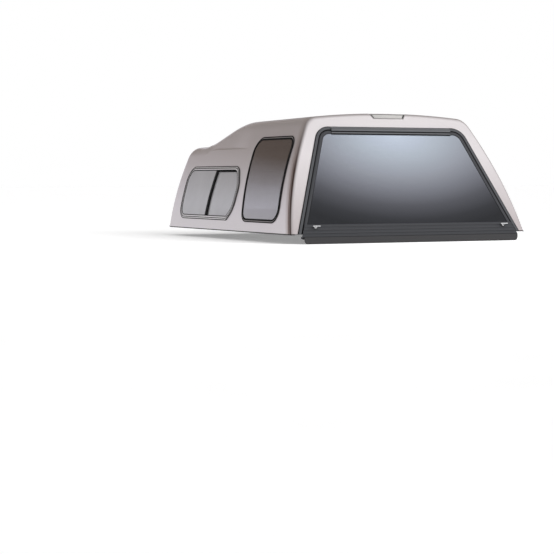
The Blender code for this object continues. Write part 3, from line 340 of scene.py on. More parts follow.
def flute_links(tree):
    place = add_node(tree, "TexCoord")
    flutes = add_node(tree, "TexWave", {"Scale": 2 * math.pi / (WAVE_TURNS * 4.0 * MM), "bands_direction": "X"},
                      {"Vector": (place, "Object")})
    # painted light and shade: the tint follows the flutes
    tint = ramp(tree, flutes, "Fac", ((0.0, "#A5A3A1"), (1.0, "#C4C2C0")))
    bump = add_node(tree, "Bump", {"Strength": 0.3, "Distance": 0.5 * MM}, {"Height": (flutes, "Fac")})
    return {"Base Color": (tint, "Color"), "Normal": (bump, "Normal")}


lens_acrylic = finish_of("fluted_acrylic", {"Roughness": 0.12, "IOR": 1.49}, flute_links)
print(lens_acrylic.name)

# %% [markdown]
# Every piece starts as a list of points and the faces between them. These helpers turn such a mesh into a piece
# that rides on the body it belongs to, stands for its plain model and keeps its edges crisp.

# %% From points to pieces
MERGE = 0.001 * MM


def mesh_from(name, bm):
    """A mesh from a bmesh, which is freed."""
    mesh = bpy.data.meshes.new(name)
    bm.to_mesh(mesh)
    bm.free()
    return mesh


def smooth(mesh, sharp=30):
    """Smooth shading, except over edges sharper than this many degrees."""
    mesh.shade_smooth()
    mesh.set_sharp_from_angle(angle=math.radians(sharp))


def make_piece(name, bm, materials, body, stands_for):
    """A mesh object that rides on a body of the frame and may stand for some of its nodes."""
    bmesh.ops.remove_doubles(bm, verts=bm.verts, dist=MERGE)
    bmesh.ops.recalc_face_normals(bm, faces=bm.faces)
    mesh = mesh_from(name, bm)
    smooth(mesh)
    for material in materials:
        mesh.materials.append(material)
    piece = new_object(name, mesh)
    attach(piece, body)
    if stands_for:
        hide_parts(*stands_for)
    return piece


def rubber_piece(name, bm, body="root"):
    """A rubber line or lip that stands for no node."""
    return make_piece(name, bm, (rubber,), body, ())


def sweep(rings, closed):
    """A solid through rings of points; an open one gets a face at each end."""
    bm = bmesh.new()
    loops = [[bm.verts.new(p) for p in ring] for ring in rings]
    for here, there in zip(loops, loops[1:] + loops[:1] if closed else loops[1:]):
        for k in range(len(here)):
            bm.faces.new((here[k - 1], here[k], there[k], there[k - 1]))
    if not closed:
        bm.faces.new(loops[0])
        bm.faces.new(loops[-1][::-1])
    return bm


def spread(start, end, steps):
    """Evenly spaced values after start, up to end."""
    return [start + (end - start) * k / steps for k in range(1, steps + 1)]


print("helpers ready")

# %% [markdown]
# Window openings are polygons with rounded corners, and frames and gaskets run round them at different depths.
# So an outline is a function of how far it is moved in, and small profile edges are eased in the same way.

# %% Rounded outlines
ARC_STEPS, LEAST_RADIUS, EASE_SHARE = 10, 0.5 * MM, 0.4


def rounded(corners, radii, inset, facet=None):
    """A rounded polygon moved in; with a facet length its straight edges get points to follow a curved wall."""
    count = len(corners)
    lines = []
    for i in range(count):
        start, end = Vector(corners[i]), Vector(corners[(i + 1) % count])
        along = (end - start).normalized()
        lines.append((start + Vector((-along.y, along.x)) * inset, along, (end - start).length))
    arcs = []
    for i in range(count):
        (p, before, _), (q, after, _) = lines[i - 1], lines[i]
        turn = before.x * after.y - before.y * after.x
        gap = q - p
        corner = p + before * ((gap.x * after.y - gap.y * after.x) / turn)
        angle = math.atan2(turn, before.dot(after))
        radius = max(radii[i] - inset, LEAST_RADIUS)
        reach = radius * math.tan(angle / 2)
        centre = corner - before * reach + Vector((-before.y, before.x)) * radius
        spoke = corner - before * reach - centre
        turns = [angle * k / ARC_STEPS for k in range(ARC_STEPS + 1)]
        arcs.append([centre + Matrix.Rotation(t, 2) @ spoke for t in turns])
    outline = []
    for i in range(count):
        outline.extend(arcs[i])
        steps = math.ceil(lines[i][2] / facet) if facet else 1
        outline.extend(spread(arcs[i][-1], arcs[(i + 1) % count][0], steps)[:-1])
    return outline


def eased(points, radius, steps=3):
    """A closed profile with every corner eased by a small curve."""
    points = [Vector(p) for p in points]
    loop = []
    for i, corner in enumerate(points):
        before, after = points[i - 1] - corner, points[(i + 1) % len(points)] - corner
        start = corner + before.normalized() * min(radius, before.length * EASE_SHARE)
        end = corner + after.normalized() * min(radius, after.length * EASE_SHARE)
        for k in range(steps + 1):
            t = k / steps
            loop.append(start * (1 - t) ** 2 + corner * (2 * t * (1 - t)) + end * t * t)
    return loop


def run_round(outline_of, profile, place):
    """A closed frame: each profile point is (moved in, outward)."""
    loops = [outline_of(point[0]) for point in profile]
    return sweep([[place(loop[i].x, loop[i].y, profile[j][1]) for j, loop in enumerate(loops)]
                  for i in range(len(loops[0]))], True)


print("a 100 mm square with 20 mm corners has", len(rounded(((0, 0), (0.1, 0), (0.1, 0.1), (0, 0.1)),
                                                         (0.02,) * 4, 0.0)), "points")

# %% [markdown]
# The moulding's section changes along its length: a cab-high front, a ramp, and the raised rear half. Each
# section has a curved side, a rounded shoulder and a crowned roof, and a belt line fades out along the ramp.
# The real one comes out of one mould, so it is lofted as one skin.

# %% The moulding's shape
LENGTH, HALF_FOOT, HALF_ROOF = 2.037, 0.872, 0.588
ROOF, CROWN, ROOF_FALL, LOW_ROOF = 0.751, 0.032, 0.011, 0.572
SIDE_LEAN = 0.160
SIDE_CURVE = (HALF_FOOT - SIDE_LEAN * ROOF - HALF_ROOF) / ROOF ** 2
RAMP_FOOT, RAMP_SLOPE, RAMP_BLEND, FOOT_BLEND = 1.784, 0.376, 0.050, 0.045
BELT, BELT_RISE, BELT_INSET, BELT_START, BELT_FADE, BELT_END = 0.543, 0.028, 0.008, 1.050, 0.300, 0.120
SHOULDER, REAR_CORNER, FRONT_CORNER, FRONT_TOP = 0.055, 0.022, 0.030, 0.060
GROOVE_AT, GROOVE_HALF, GROOVE_DEPTH = 0.036, 0.009, 0.0045


def half_width(z):
    return HALF_FOOT - SIDE_LEAN * z - SIDE_CURVE * z * z


def lower(a, b, blend):
    """The lower of two values, rounded where they cross."""
    near = max(blend - abs(a - b), 0.0) / blend
    return min(a, b) - near * near * blend / 4


def ease_in(value):
    value = min(max(value, 0.0), 1.0)
    return value * value * (3 - 2 * value)


def roof_edge(y):
    """Height of the corner between side and roof."""
    ramp_line = LOW_ROOF + RAMP_SLOPE * (RAMP_FOOT - y)
    return -lower(-lower(ROOF - ROOF_FALL * y, ramp_line, RAMP_BLEND), -LOW_ROOF, FOOT_BLEND)


def belt_inset(y):
    ends = 1.0 - ease_in((y - RAMP_FOOT + BELT_END) / BELT_END)
    return BELT_INSET * ease_in((y - BELT_START) / BELT_FADE) * ends


print("half width at the rails and at the roof:", round(half_width(0), 3), round(half_width(ROOF), 3))

# %% [markdown]
# One ring of points is one section. Its plane is upright at the front wall and leans with the rake at the rear,
# so the rear face comes out flat. The rows are 14 mm apart, close enough that the paint reflects smoothly.
# The two fine lines of the skin, the groove and the crisp edge of the belt, are left out of a plain ring.

# %% Sections of the moulding
ROW, BELT_STEPS, SHOULDER_STEPS, ROOF_STEPS = 14 * MM, 12, 10, 14
BELT_BLEND, BELT_CLEAR, BELT_TOP_CLEAR, CRISP_FROM, CRISP_OVER = 0.010, 0.015, 0.005, 0.3, 0.4
GROOVE_FADE, GROOVE_FADE_FROM, GROOVE_FADE_OVER, BELOW_RAIL = 0.75, 0.36, 0.16, -0.012


def section(y, side_inset, top_inset, groove, crisp):
    """(x, z) of the outer face from below the rail to the roof's centre line."""
    edge = roof_edge(y) - top_inset
    side_top = edge - SHOULDER
    belt_low = lower(BELT, side_top - BELT_CLEAR, BELT_BLEND)
    belt_top = lower(BELT + BELT_RISE, side_top - BELT_TOP_CLEAR, BELT_BLEND)
    heights = [BELOW_RAIL, 0.0] + spread(0.0, belt_low, math.ceil(BELT / ROW))
    heights += spread(belt_low, belt_top, BELT_STEPS)
    heights += spread(belt_top, side_top, math.ceil((ROOF - BELT - SHOULDER) / ROW))

    def side_x(z):
        rise = (z - belt_low) / (belt_top - belt_low)
        step = belt_inset(y) * ease_in((rise - CRISP_FROM) / CRISP_OVER if crisp else rise)
        fade = 1.0 - GROOVE_FADE * ease_in((z - GROOVE_FADE_FROM) / GROOVE_FADE_OVER)
        return half_width(z) - side_inset - step - groove * fade

    points = [Vector((side_x(z), z)) for z in heights]
    corner = Vector((side_x(edge), edge))
    start = points[-1]
    end = Vector((corner.x - SHOULDER, edge + CROWN * (1 - (1 - SHOULDER / corner.x) ** 2)))
    for t in spread(0.0, 1.0, SHOULDER_STEPS):
        points.append(start * (1 - t) ** 2 + corner * (2 * t * (1 - t)) + end * t * t)
    for t in spread(0.0, 1.0, ROOF_STEPS):
        x = end.x * (1 - t)
        points.append(Vector((x, edge + CROWN * (1 - (x / corner.x) ** 2))))
    return points


def ring_at(base_y, side_inset=0.0, top_inset=0.0, groove=0.0, crisp=False):
    """One whole ring, left foot to right foot."""
    lean = RAKE_SLOPE * (1 - base_y / LENGTH)
    half = section(base_y + lean * ROOF, side_inset, top_inset, groove, crisp)
    one = [from_rails(p.x, base_y + lean * p.y, p.y) for p in half]
    other = [Vector((-p.x, p.y, p.z)) for p in one[:-1]]
    return other + one[::-1]


print("points in a ring:", len(ring_at(0.5)))

# %% [markdown]
# The rings run from the rear corner, over the soft groove beside it, along the roof and round the front corner.

# %% Rings of the moulding
CORNER_RINGS, GROOVE_RINGS, ROOF_RINGS, FRONT_RINGS = 8, 12, 84, 10
stations = []
for k in range(CORNER_RINGS + 1):
    turn = math.radians(90) * k / CORNER_RINGS
    inset = REAR_CORNER * (1 - math.sin(turn))
    stations.append((REAR_CORNER * (1 - math.cos(turn)), inset, inset, 0.0))
for k in range(GROOVE_RINGS + 1):
    along = -1 + 2 * k / GROOVE_RINGS
    depth = GROOVE_DEPTH * (0.5 + 0.5 * math.cos(math.pi * along)) ** 1.5
    stations.append((GROOVE_AT + GROOVE_HALF * along, 0.0, 0.0, depth))
lean = RAKE_SLOPE * ROOF
for y in spread(lean + GROOVE_AT + GROOVE_HALF, LENGTH - FRONT_TOP, ROOF_RINGS):
    stations.append(((y - lean) / (1 - lean / LENGTH), 0.0, 0.0, 0.0))
for degrees in spread(0, 90, FRONT_RINGS):
    from_front = FRONT_TOP * (1 - math.sin(math.radians(degrees)))
    reach = max(FRONT_CORNER - from_front, 0.0)
    side_inset = FRONT_CORNER - math.sqrt(FRONT_CORNER ** 2 - reach ** 2)
    top_inset = FRONT_TOP * (1 - math.cos(math.radians(degrees)))
    stations.append((LENGTH - from_front, side_inset, top_inset, 0.0))
print(len(stations), "rings")

# %% [markdown]
# The windows are drawn on the flat: along the side and up from the rail. The tall one leans with the rear face
# and the sliding one bows back towards it. A placement function then lays them on the curved side.

# %% Window outlines
TALL = ((0.206, 0.064), (0.772, 0.064), (0.937, 0.627), (0.350, 0.627))
TALL_RADII = (0.085, 0.085, 0.080, 0.095)
SLIDER = ((1.024, 0.067), (1.856, 0.067), (1.891, 0.434), (1.036, 0.434), (0.938, 0.305), (0.938, 0.146))
SLIDER_RADII = (0.030, 0.095, 0.095, 0.115, 0.130, 0.130)
FRONT = ((-0.620, 0.100), (0.620, 0.100), (0.560, 0.420), (-0.560, 0.420))
FRONT_RADIUS = 0.050
SIDES = (("_left", -1), ("_right", 1))


def tall_line(inset):
    return rounded(TALL, TALL_RADII, inset, ROW)


def slider_line(inset):
    return rounded(SLIDER, SLIDER_RADII, inset, ROW)


def front_line(inset):
    return rounded(FRONT, (FRONT_RADIUS,) * 4, inset)


def on_side(side):
    """Placement on a side wall, -1 left or 1 right: along, up, and outward from its face."""
    def place(y, z, n):
        slope = SIDE_LEAN + 2 * SIDE_CURVE * z
        length = math.hypot(1.0, slope)
        return from_rails(side * (half_width(z) + n / length), y, z + n * slope / length)
    return place


def on_front(x, z, n):
    return from_rails(x, LENGTH + n, z)


print("tall window", len(tall_line(0.0)), "points, slider", len(slider_line(0.0)), "points")

# %% [markdown]
# The rear opening takes the door. It is a trapezium with rounded top corners, open at the foot, and its frame
# runs up one leg, over the top and down the other.

# %% The rear opening
DOOR_TOP = ROOF / math.cos(RAKE) - 0.0715
DOOR_HALF, DOOR_HALF_TOP, DOOR_CORNER = 0.826, 0.542, 0.112
DOOR_TAPER = (DOOR_HALF - DOOR_HALF_TOP) / DOOR_TOP


def door_edge(v, inset):
    """Half width of the opening's outline at a height up the rake."""
    return DOOR_HALF - DOOR_TAPER * v - inset * math.hypot(1.0, DOOR_TAPER)


def door_line(inset, foot=0.0):
    """The outline from lower right, over the top, to lower left."""
    top, reach = DOOR_TOP - inset, DOOR_CORNER - inset
    slope = math.atan(DOOR_TAPER)
    angle = math.radians(90) - slope
    corner = Vector((door_edge(top, inset), top))
    leg = Vector((math.sin(slope), -math.cos(slope)))
    start = corner + leg * reach * math.tan(angle / 2)
    centre = start - Vector((math.cos(slope), math.sin(slope))) * reach
    spoke = start - centre
    arc = [centre + Matrix.Rotation(angle * k / ARC_STEPS, 2) @ spoke for k in range(ARC_STEPS + 1)]
    half = [Vector((door_edge(foot, inset), foot))] + arc
    return half + [Vector((-p.x, p.y)) for p in reversed(half)]


def run_over(profile, foot, level=False):
    """A frame over the opening from foot to foot; level ends it flat on the rails."""
    loops = [door_line(inset, foot) for inset, _ in profile]
    rows = []
    for i in range(len(loops[0])):
        row = []
        for j, (inset, n) in enumerate(profile):
            x, v = loops[j][i]
            if level and i in (0, len(loops[0]) - 1):
                v = (foot - n * math.sin(RAKE)) / math.cos(RAKE)
                x = math.copysign(door_edge(v, inset), x)
            row.append(on_rear(x, v, n))
        rows.append(row)
    return sweep(rows, False)


print("rear opening", len(door_line(0.0)), "points; top at", round(DOOR_TOP, 4), "up the rake")

# %% [markdown]
# A plate follows an outline between two depths. Creases every 14 mm let it bend with the side, which makes both
# the curved panes and the tools that cut the openings square to the wall.

# %% Plates
def plate(outline, near, far, place, creased=False):
    """A plate with this outline between two depths; a creased one can follow the side's curve."""
    flat = bmesh.new()
    flat.faces.new([flat.verts.new((p[0], p[1], 0.0)) for p in outline])
    if creased:
        low, high = min(p[1] for p in outline), max(p[1] for p in outline)
        for height in spread(low, high, math.ceil((high - low) / ROW))[:-1]:
            geometry = flat.verts[:] + flat.edges[:] + flat.faces[:]
            bmesh.ops.bisect_plane(flat, geom=geometry, plane_co=(0, height, 0), plane_no=(0, 1, 0))
    flat.verts.index_update()
    bm = bmesh.new()
    front = [bm.verts.new(place(v.co.x, v.co.y, far)) for v in flat.verts]
    back = [bm.verts.new(place(v.co.x, v.co.y, near)) for v in flat.verts]
    for face in flat.faces:
        order = [v.index for v in face.verts]
        bm.faces.new([front[i] for i in order])
        bm.faces.new([back[i] for i in reversed(order)])
    for edge in [e for e in flat.edges if e.is_boundary]:
        i, j = edge.verts[0].index, edge.verts[1].index
        bm.faces.new((front[i], front[j], back[j], back[i]))
    flat.free()
    return bm


def apply_modifiers(piece):
    """Replace the piece's mesh by what its modifiers make of it."""
    bpy.context.view_layer.update()
    evaluated = piece.evaluated_get(bpy.context.evaluated_depsgraph_get())
    done = bpy.data.meshes.new_from_object(evaluated)
    piece.modifiers.clear()
    old, piece.data = piece.data, done
    bpy.data.meshes.remove(old)


def cut(target, bm, operation="DIFFERENCE"):
    """Cut a tool solid out of a piece, or join it on, and keep only the result."""
    bmesh.ops.recalc_face_normals(bm, faces=bm.faces)
    tool = new_object("tool", mesh_from("tool", bm))
    modifier = target.modifiers.new("cut", "BOOLEAN")
    modifier.operation, modifier.solver, modifier.object = operation, "EXACT", tool
    apply_modifiers(target)
    bpy.data.meshes.remove(tool.data)  # the tool goes with its mesh


print("plates ready")

# %% [markdown]
# The skin gets its 6 mm wall inwards, with the spatter coat on its inner side. The groove and the belt's edge are
# pressed into the outer points only afterwards, because a wall offset round such small bends would cross itself.
# Solidify keeps the outer points first and in their order, so each is simply set to its place in the lined ring.

# %% The moulding
WALL = 6 * MM
bm = bmesh.new()
loops = [[bm.verts.new(p) for p in ring_at(*station[:3])] for station in stations]
for here, there in zip(loops, loops[1:]):
    for j in range(len(here) - 1):
        bm.faces.new((here[j], here[j + 1], there[j + 1], there[j]))
bm.faces.new(loops[0])
bm.faces.new(loops[-1][::-1])
moulding = make_piece("moulding", bm, (paint, spatter), "root", ("shell",))
if max(moulding.data.polygons, key=lambda face: face.center.z).normal.z < 0:
    moulding.data.flip_normals()
wall = moulding.modifiers.new("wall", "SOLIDIFY")
wall.thickness, wall.offset, wall.use_even_offset, wall.material_offset = WALL, -1.0, True, 1
apply_modifiers(moulding)
lined = [point for station in stations for point in ring_at(*station, True)]
for vertex, point in zip(moulding.data.vertices, lined):
    vertex.co = point


def litres(piece):
    """A closed piece's volume, and how many edges it has that aren't closed."""
    bm = bmesh.new()
    bm.from_mesh(piece.data)
    volume = bm.calc_volume(signed=True) * 1000
    open_edges = sum(1 for edge in bm.edges if not edge.is_manifold)
    bm.free()
    return round(volume, 3), open_edges


print("moulding before the cuts:", len(moulding.data.polygons), "faces", litres(moulding))

# %% [markdown]
# The order of the cuts is the order in a workshop: trim the foot, bond the flange, then rout the openings from
# outside with the cutter held square to the skin.

# %% Openings in the moulding
FLANGE, OPENING, REACH = 55 * MM, 7.8 * MM, 40 * MM
DOOR_OPENING, DOOR_REACH, BELOW_FOOT = 11.5 * MM, 0.15, -0.2
cut(moulding, plate(((-2, -1), (2, -1), (2, 3), (-2, 3)), -1.0, 0.0, from_rails))
print("after the foot trim", litres(moulding))
outer, inner = (HALF_FOOT - WALL / 2, LENGTH - WALL / 2), (HALF_FOOT - FLANGE, LENGTH - FLANGE)
flange = [(outer[0], REAR_CORNER), outer, (-outer[0], outer[1]), (-outer[0], REAR_CORNER),
          (-inner[0], REAR_CORNER), (-inner[0], inner[1]), inner, (inner[0], REAR_CORNER)]
cut(moulding, plate(flange, 0.0, WALL, from_rails), "UNION")
print("after the flange", litres(moulding))
for _, side in SIDES:
    for line in (tall_line(OPENING), slider_line(OPENING)):
        cut(moulding, plate(line, -REACH, REACH, on_side(side), True))
cut(moulding, plate(front_line(OPENING), -REACH, REACH, on_front))
cut(moulding, plate(door_line(DOOR_OPENING, BELOW_FOOT), -DOOR_REACH, DOOR_REACH, on_rear))
print("moulding with its openings:", len(moulding.data.polygons), "faces")

# %% [markdown]
# The high lamp sits in a pocket in the rear edge of the roof. Its lens is wider at the top.

# %% The lamp's pocket
LAMP_TOP = (ROOF + CROWN) / math.cos(RAKE) - 0.008
LAMP_BOTTOM, LAMP_HALF_TOP, LAMP_HALF_BOTTOM = LAMP_TOP - 0.035, 0.136, 0.114
LAMP_SLOPE = (LAMP_HALF_TOP - LAMP_HALF_BOTTOM) / (LAMP_TOP - LAMP_BOTTOM)
POCKET_ROOM, POCKET_DEPTH, POCKET_ABOVE = 0.5 * MM, 34.5 * MM, 0.04


def lamp_line(inset, extra_top=0.0):
    """The lamp's four corners on the rear face, moved in; the pocket's go on up past the roof."""
    low, bottom = LAMP_HALF_BOTTOM - inset, LAMP_BOTTOM + inset
    high, top = LAMP_HALF_TOP - inset + LAMP_SLOPE * extra_top, LAMP_TOP - inset + extra_top
    return (-low, bottom), (low, bottom), (high, top), (-high, top)


cut(moulding, plate(lamp_line(-POCKET_ROOM, POCKET_ABOVE), -POCKET_DEPTH, DOOR_REACH, on_rear))
smooth(moulding.data)
weighted = moulding.modifiers.new("weighted_normals", "WEIGHTED_NORMAL")
weighted.keep_sharp, weighted.weight = True, 100
apply_modifiers(moulding)
print("lamp pocket cut;", len(moulding.data.polygons), "faces")

# %% [markdown]
# A fixed window is one aluminium frame round the opening: a flange outside and a web through the wall. A round
# rubber bead seals its edge to the paint and another one laps onto the glass. Both stand proud of the frame's
# face, so that from a slant the upright runs look black, while the runs above and below show a lighter line. The
# grey of the frame's face is a painted sheen.

# %% Tall and front windows
PANE_INSET, PANE, GLASS_FACE = 11.6 * MM, 4 * MM, 2.7 * MM


def in_mm(ease, *points, steps=3):
    """A profile written in millimetres, (moved in, outward), with its corners eased by so much."""
    return eased([(a * MM, b * MM) for a, b in points], ease * MM, steps)


fixed_profile = in_mm(0.5, (4.6, 0.3), (4.6, 1.8), (11.3, 1.8), (11.3, -12), (8.3, -12), (8.3, 0.3))
bead = in_mm(0.8, (-1, 0.1), (-1, 3.8), (0.2, 5), (3.9, 5), (5.0, 4), (5.0, 0.1))
glazing = in_mm(0.5, (11.4, 2.75), (11.4, 4.4), (12.4, 5), (19.5, 5), (22.5, 3.4), (22.5, 2.75))


def fixed_window(name, ending, line, place, creased):
    """Frame, rubber lines and pane of a fixed window."""
    make_piece(f"{name}_trim{ending}", run_round(line, fixed_profile, place), (sheen_grey_coat,), "root",
               (f"{name}_frame{ending}",))
    rubber_piece(f"{name}_bead{ending}", run_round(line, bead, place))
    rubber_piece(f"{name}_glazing{ending}", run_round(line, glazing, place))
    pane = plate(line(PANE_INSET), GLASS_FACE - PANE, GLASS_FACE, place, creased)
    make_piece(f"{name}_pane{ending}", pane, (side_glass,), "root", (f"{name}_glass{ending}",))


for ending, side in SIDES:
    fixed_window("tall_window", ending, tall_line, on_side(side), True)
fixed_window("front_window", "", front_line, on_front, False)
print("fixed windows made")

# %% [markdown]
# A sliding window has two tracks, one behind the other. The front pane is fixed and the rear one slides in the
# inner track, behind an upright mullion with a brush seal. The frame is stepped: an outer flange, a dark rubber
# line that stands proud where a groove's shade is, as painted shade, and an inner rail that hides the tracks.

# %% Sliding windows
slider_profile = in_mm(0.4, (3, 0.3), (3, 3), (10.4, 3), (10.4, 3.9), (25, 3.9), (25, 3), (11.3, 3), (11.3, -1.6),
                       (16, -1.6), (16, -3.6), (11.3, -3.6), (11.3, -8.2), (16, -8.2), (16, -10.2), (8.3, -10.2),
                       (8.3, 0.3))
slider_bead = in_mm(0.5, (-1, 0.1), (-1, 3.8), (0.2, 5), (2.8, 5), (3.8, 4), (3.8, 0.1))
# painted shade: a black strip drawn where the groove in the frame is in shade
groove_shadow_line = in_mm(0.3, (10.2, 3.2), (10.2, 4.5), (10.9, 5.1), (14.4, 5.1), (15.1, 4.5), (15.1, 3.2))
track_rubber = in_mm(0.4, (23.5, 2.75), (23.5, 5), (28, 5), (29, 2.75))
RAIL_EDGE, MEETING, MULLION = 28 * MM, 1.400, 36 * MM
SASH_TOP, SASH, SASH_REAR = 0.434 - RAIL_EDGE - 1 * MM, 8 * MM, (1.072, 1.082)


def keep_side(outline, limit, ahead_of):
    """The part of a convex outline ahead of a line across it, or behind it."""
    sign = 1.0 if ahead_of else -1.0
    kept = []
    for i, here in enumerate(outline):
        last = outline[i - 1]
        if (sign * (here.x - limit) >= 0) != (sign * (last.x - limit) >= 0):
            kept.append(last.lerp(here, (limit - last.x) / (here.x - last.x)))
        if sign * (here.x - limit) >= 0:
            kept.append(here)
    return kept


for ending, side in SIDES:
    place = on_side(side)
    make_piece(f"slider_trim{ending}", run_round(slider_line, slider_profile, place), (anodised,), "root",
               (f"slider_frame{ending}",))
    for part, profile in (("bead", slider_bead), ("groove_shadow_line", groove_shadow_line), ("glazing", track_rubber)):
        rubber_piece(f"slider_{part}{ending}", run_round(slider_line, profile, place))
    opening = slider_line(PANE_INSET)
    for part, node, limit, ahead_of, face in (("front", "fixed", MEETING + 0.3 * MM, True, GLASS_FACE),
                                              ("rear", "moving", MEETING, False, -3.9 * MM)):
        pane = plate(keep_side(opening, limit, ahead_of), face - PANE, face, place, True)
        make_piece(f"slider_{part}_glass{ending}", pane, (sky_painted_glass,), "root",
                   (f"slider_{node}_pane{ending}",))
    inside = slider_line(RAIL_EDGE - 2 * MM)
    bar = keep_side(keep_side(inside, MEETING, False), MEETING - MULLION, True)
    mullion = plate(bar, -1.3 * MM, 3.8 * MM, place, True)
    make_piece(f"slider_bar{ending}", mullion, (rubber,), "root", (f"slider_mullion{ending}",))
    sash = ((SASH_REAR[0], SASH_TOP - SASH), (MEETING - MULLION, SASH_TOP - SASH), (MEETING - MULLION, SASH_TOP),
            (SASH_REAR[1], SASH_TOP))
    rubber_piece(f"slider_sash{ending}", plate(sash, -3.6 * MM, 2.6 * MM, place))
print("sliding windows made")

# %% [markdown]
# The door's surround is read as fine parallel lines: a thin rubber bead on the paint, the frame's face in painted
# sheen, black rubber filling the gap as painted shade, the door's own stepped frame, and the rubber on the glass.

# %% Rear surround
DOOR_INSET, STILE_FOOT = 29 * MM, 63.3 * MM
surround = in_mm(0.9, (2.6, 0.3), (2.6, 4.6), (4.6, 6), (20.4, 6), (21, 5.4), (21, 0.3), (16, 0.3), (16, -26),
                 (46, -26), (46, -30), (12, -30), (12, 0.3), steps=2)
make_piece("rear_surround", run_over(surround, 0.0, True), (sheen_coat,), "root", ("rear_frame",))
surround_bead = in_mm(0.7, (-1, 0.1), (-1, 4), (0, 5.4), (2, 5.4), (3.4, 4.4), (3.4, 0.1), steps=2)
rubber_piece("rear_surround_bead", run_over(surround_bead, 0.0, True))
# painted shade: a black strip flush with the faces, where the gap is in shadow
gap_shadow_strip = in_mm(0.6, (20.8, 0.3), (20.8, 5.2), (22, 5.8), (27, 4.8), (28.4, 3.6), (28.4, 0.3), steps=2)
rubber_piece("rear_gap_shadow_strip", run_over(gap_shadow_strip, 0.0, True))
stile = in_mm(0.8, (29, -12), (51, -12), (51, -1.6), (41, -1.6), (41, 4), (49, 4), (49, 4.8), (45, 5.6), (42, 6),
              (34, 6), (32, 4.6), (29, 4.6), steps=2)
make_piece("door_stile", run_over(stile, STILE_FOOT), (powder_coat,), "door", ("door_frame",))
glass_rubber = in_mm(0.4, (48.5, 3.75), (48.5, 5), (49.4, 5.2), (51.8, 4.4), (51.8, 3.75))
rubber_piece("door_glass_rubber", run_over(glass_rubber, STILE_FOOT), "door")
print("rear surround and door stile made")

# %% [markdown]
# The hinge is two extrusions that hook into each other all along the head of the door: a socket on the frame and
# a leaf with a round bead on the door. A black rubber lip under the socket is painted shade where the socket casts
# its shadow. Two more are pressed into the leaf, and draw black lines across it: a painted shadow of the socket,
# and a lip against the glass.

# %% Hinge
HINGE_V, HINGE_HALF = DOOR_TOP - 21 * MM, 0.450
HINGE_OUT = 13.2  # millimetres, as in the profiles


def across_door(profile, ease, v=HINGE_V, half_length=HINGE_HALF, steps=3):
    """A profile of (up from v, outward) points in millimetres, run across the door."""
    points = in_mm(ease, *profile, steps=steps)
    return sweep([[on_rear(x, v + p.x, p.y) for p in points] for x in (-half_length, half_length)], False)


def around_bead(radius, start, end, steps):
    """(up, outward) points in millimetres about the hinge's axis; 0 points down the door and 90 outward."""
    turns = [math.radians(start + (end - start) * k / steps) for k in range(steps + 1)]
    return [(-radius * math.cos(t), HINGE_OUT + radius * math.sin(t)) for t in turns]


socket = around_bead(4.4, 326, 114, 16) + around_bead(6.9, 114, 180, 8)
socket += [(9, 11), (10, 9.6), (17, 8.8), (18, 8), (18, 6.3), (0, 6.3)] + around_bead(6.9, 276, 326, 6)
make_piece("hinge_socket", across_door(socket, 0.3, steps=1), (skylit_coat,), "root", ("hinge_rail",))
leaf = around_bead(4.0, 22, 338, 20)
leaf += [(-8.9, 11.7), (-8.9, 6.3), (-32.9, 6.3), (-32.9, 8.6), (-31.5, 9.3), (-13, 9.3), (-10, 14.7)]
make_piece("hinge_leaf_plate", across_door(leaf, 0.3, steps=1), (skylit_coat,), "door", ("hinge_leaf",))
# painted shade: black strips where the socket's shadow falls, on the frame and across the leaf
lip = ((-7.2, 6.3), (-4.4, 6.3), (-4.4, 8.4), (-7.2, 8.4))
rubber_piece("hinge_shadow_lip", across_door(lip, 0.5))
shadow_strip = ((-19.5, 9), (-19.5, 10), (-18.5, 10.8), (-12, 11.4), (-11, 9))
rubber_piece("hinge_shadow_strip", across_door(shadow_strip, 0.4), "door")
glass_lip = ((-34.5, 6.4), (-34.5, 8.4), (-28, 10.2), (-27, 9))
rubber_piece("hinge_glass_lip", across_door(glass_lip, 0.4), "door")
print("hinge made")

# %% [markdown]
# At its foot the glass stands in a ridged channel, the only part of the door that carries load. The skirt under
# it laps over the tailgate, with a black rubber strip in the corner between them as painted shade. All are
# extrusions, so each is a profile and the places where it ends.

# %% Bottom rail and skirt
RAIL_TOP, RAIL_BOTTOM, RAIL_FACE, RIDGES, RIDGE = 63.0, -27.0, 10.0, 4, 3.0  # millimetres
RIDGE_PITCH = (RAIL_TOP - RAIL_BOTTOM) / RIDGES
rail = [(RAIL_TOP, RAIL_FACE)]
for k in range(RIDGES):
    top = RAIL_TOP - RIDGE_PITCH * k
    for share, height in ((0.12, 0), (0.22, RIDGE), (0.78, RIDGE), (0.88, 0)):
        rail.append((top - RIDGE_PITCH * share, RAIL_FACE + height))
rail += [(RAIL_BOTTOM, RAIL_FACE), (RAIL_BOTTOM, -10), (-13, -10), (-13, -7), (-24, -7), (-24, 7), (52.7, 7),
         (52.7, -4.6), (RAIL_TOP, -4.6), (RAIL_TOP, -1.6), (55.7, -1.6), (55.7, 4), (RAIL_TOP, 4)]
rail = in_mm(1.2, *rail)
ends = [[on_rear(side * door_edge(v, DOOR_INSET), v, n) for v, n in rail] for side in (-1, 1)]
make_piece("ridged_rail", sweep(ends, False), (powder_coat,), "door", ("bottom_rail",))

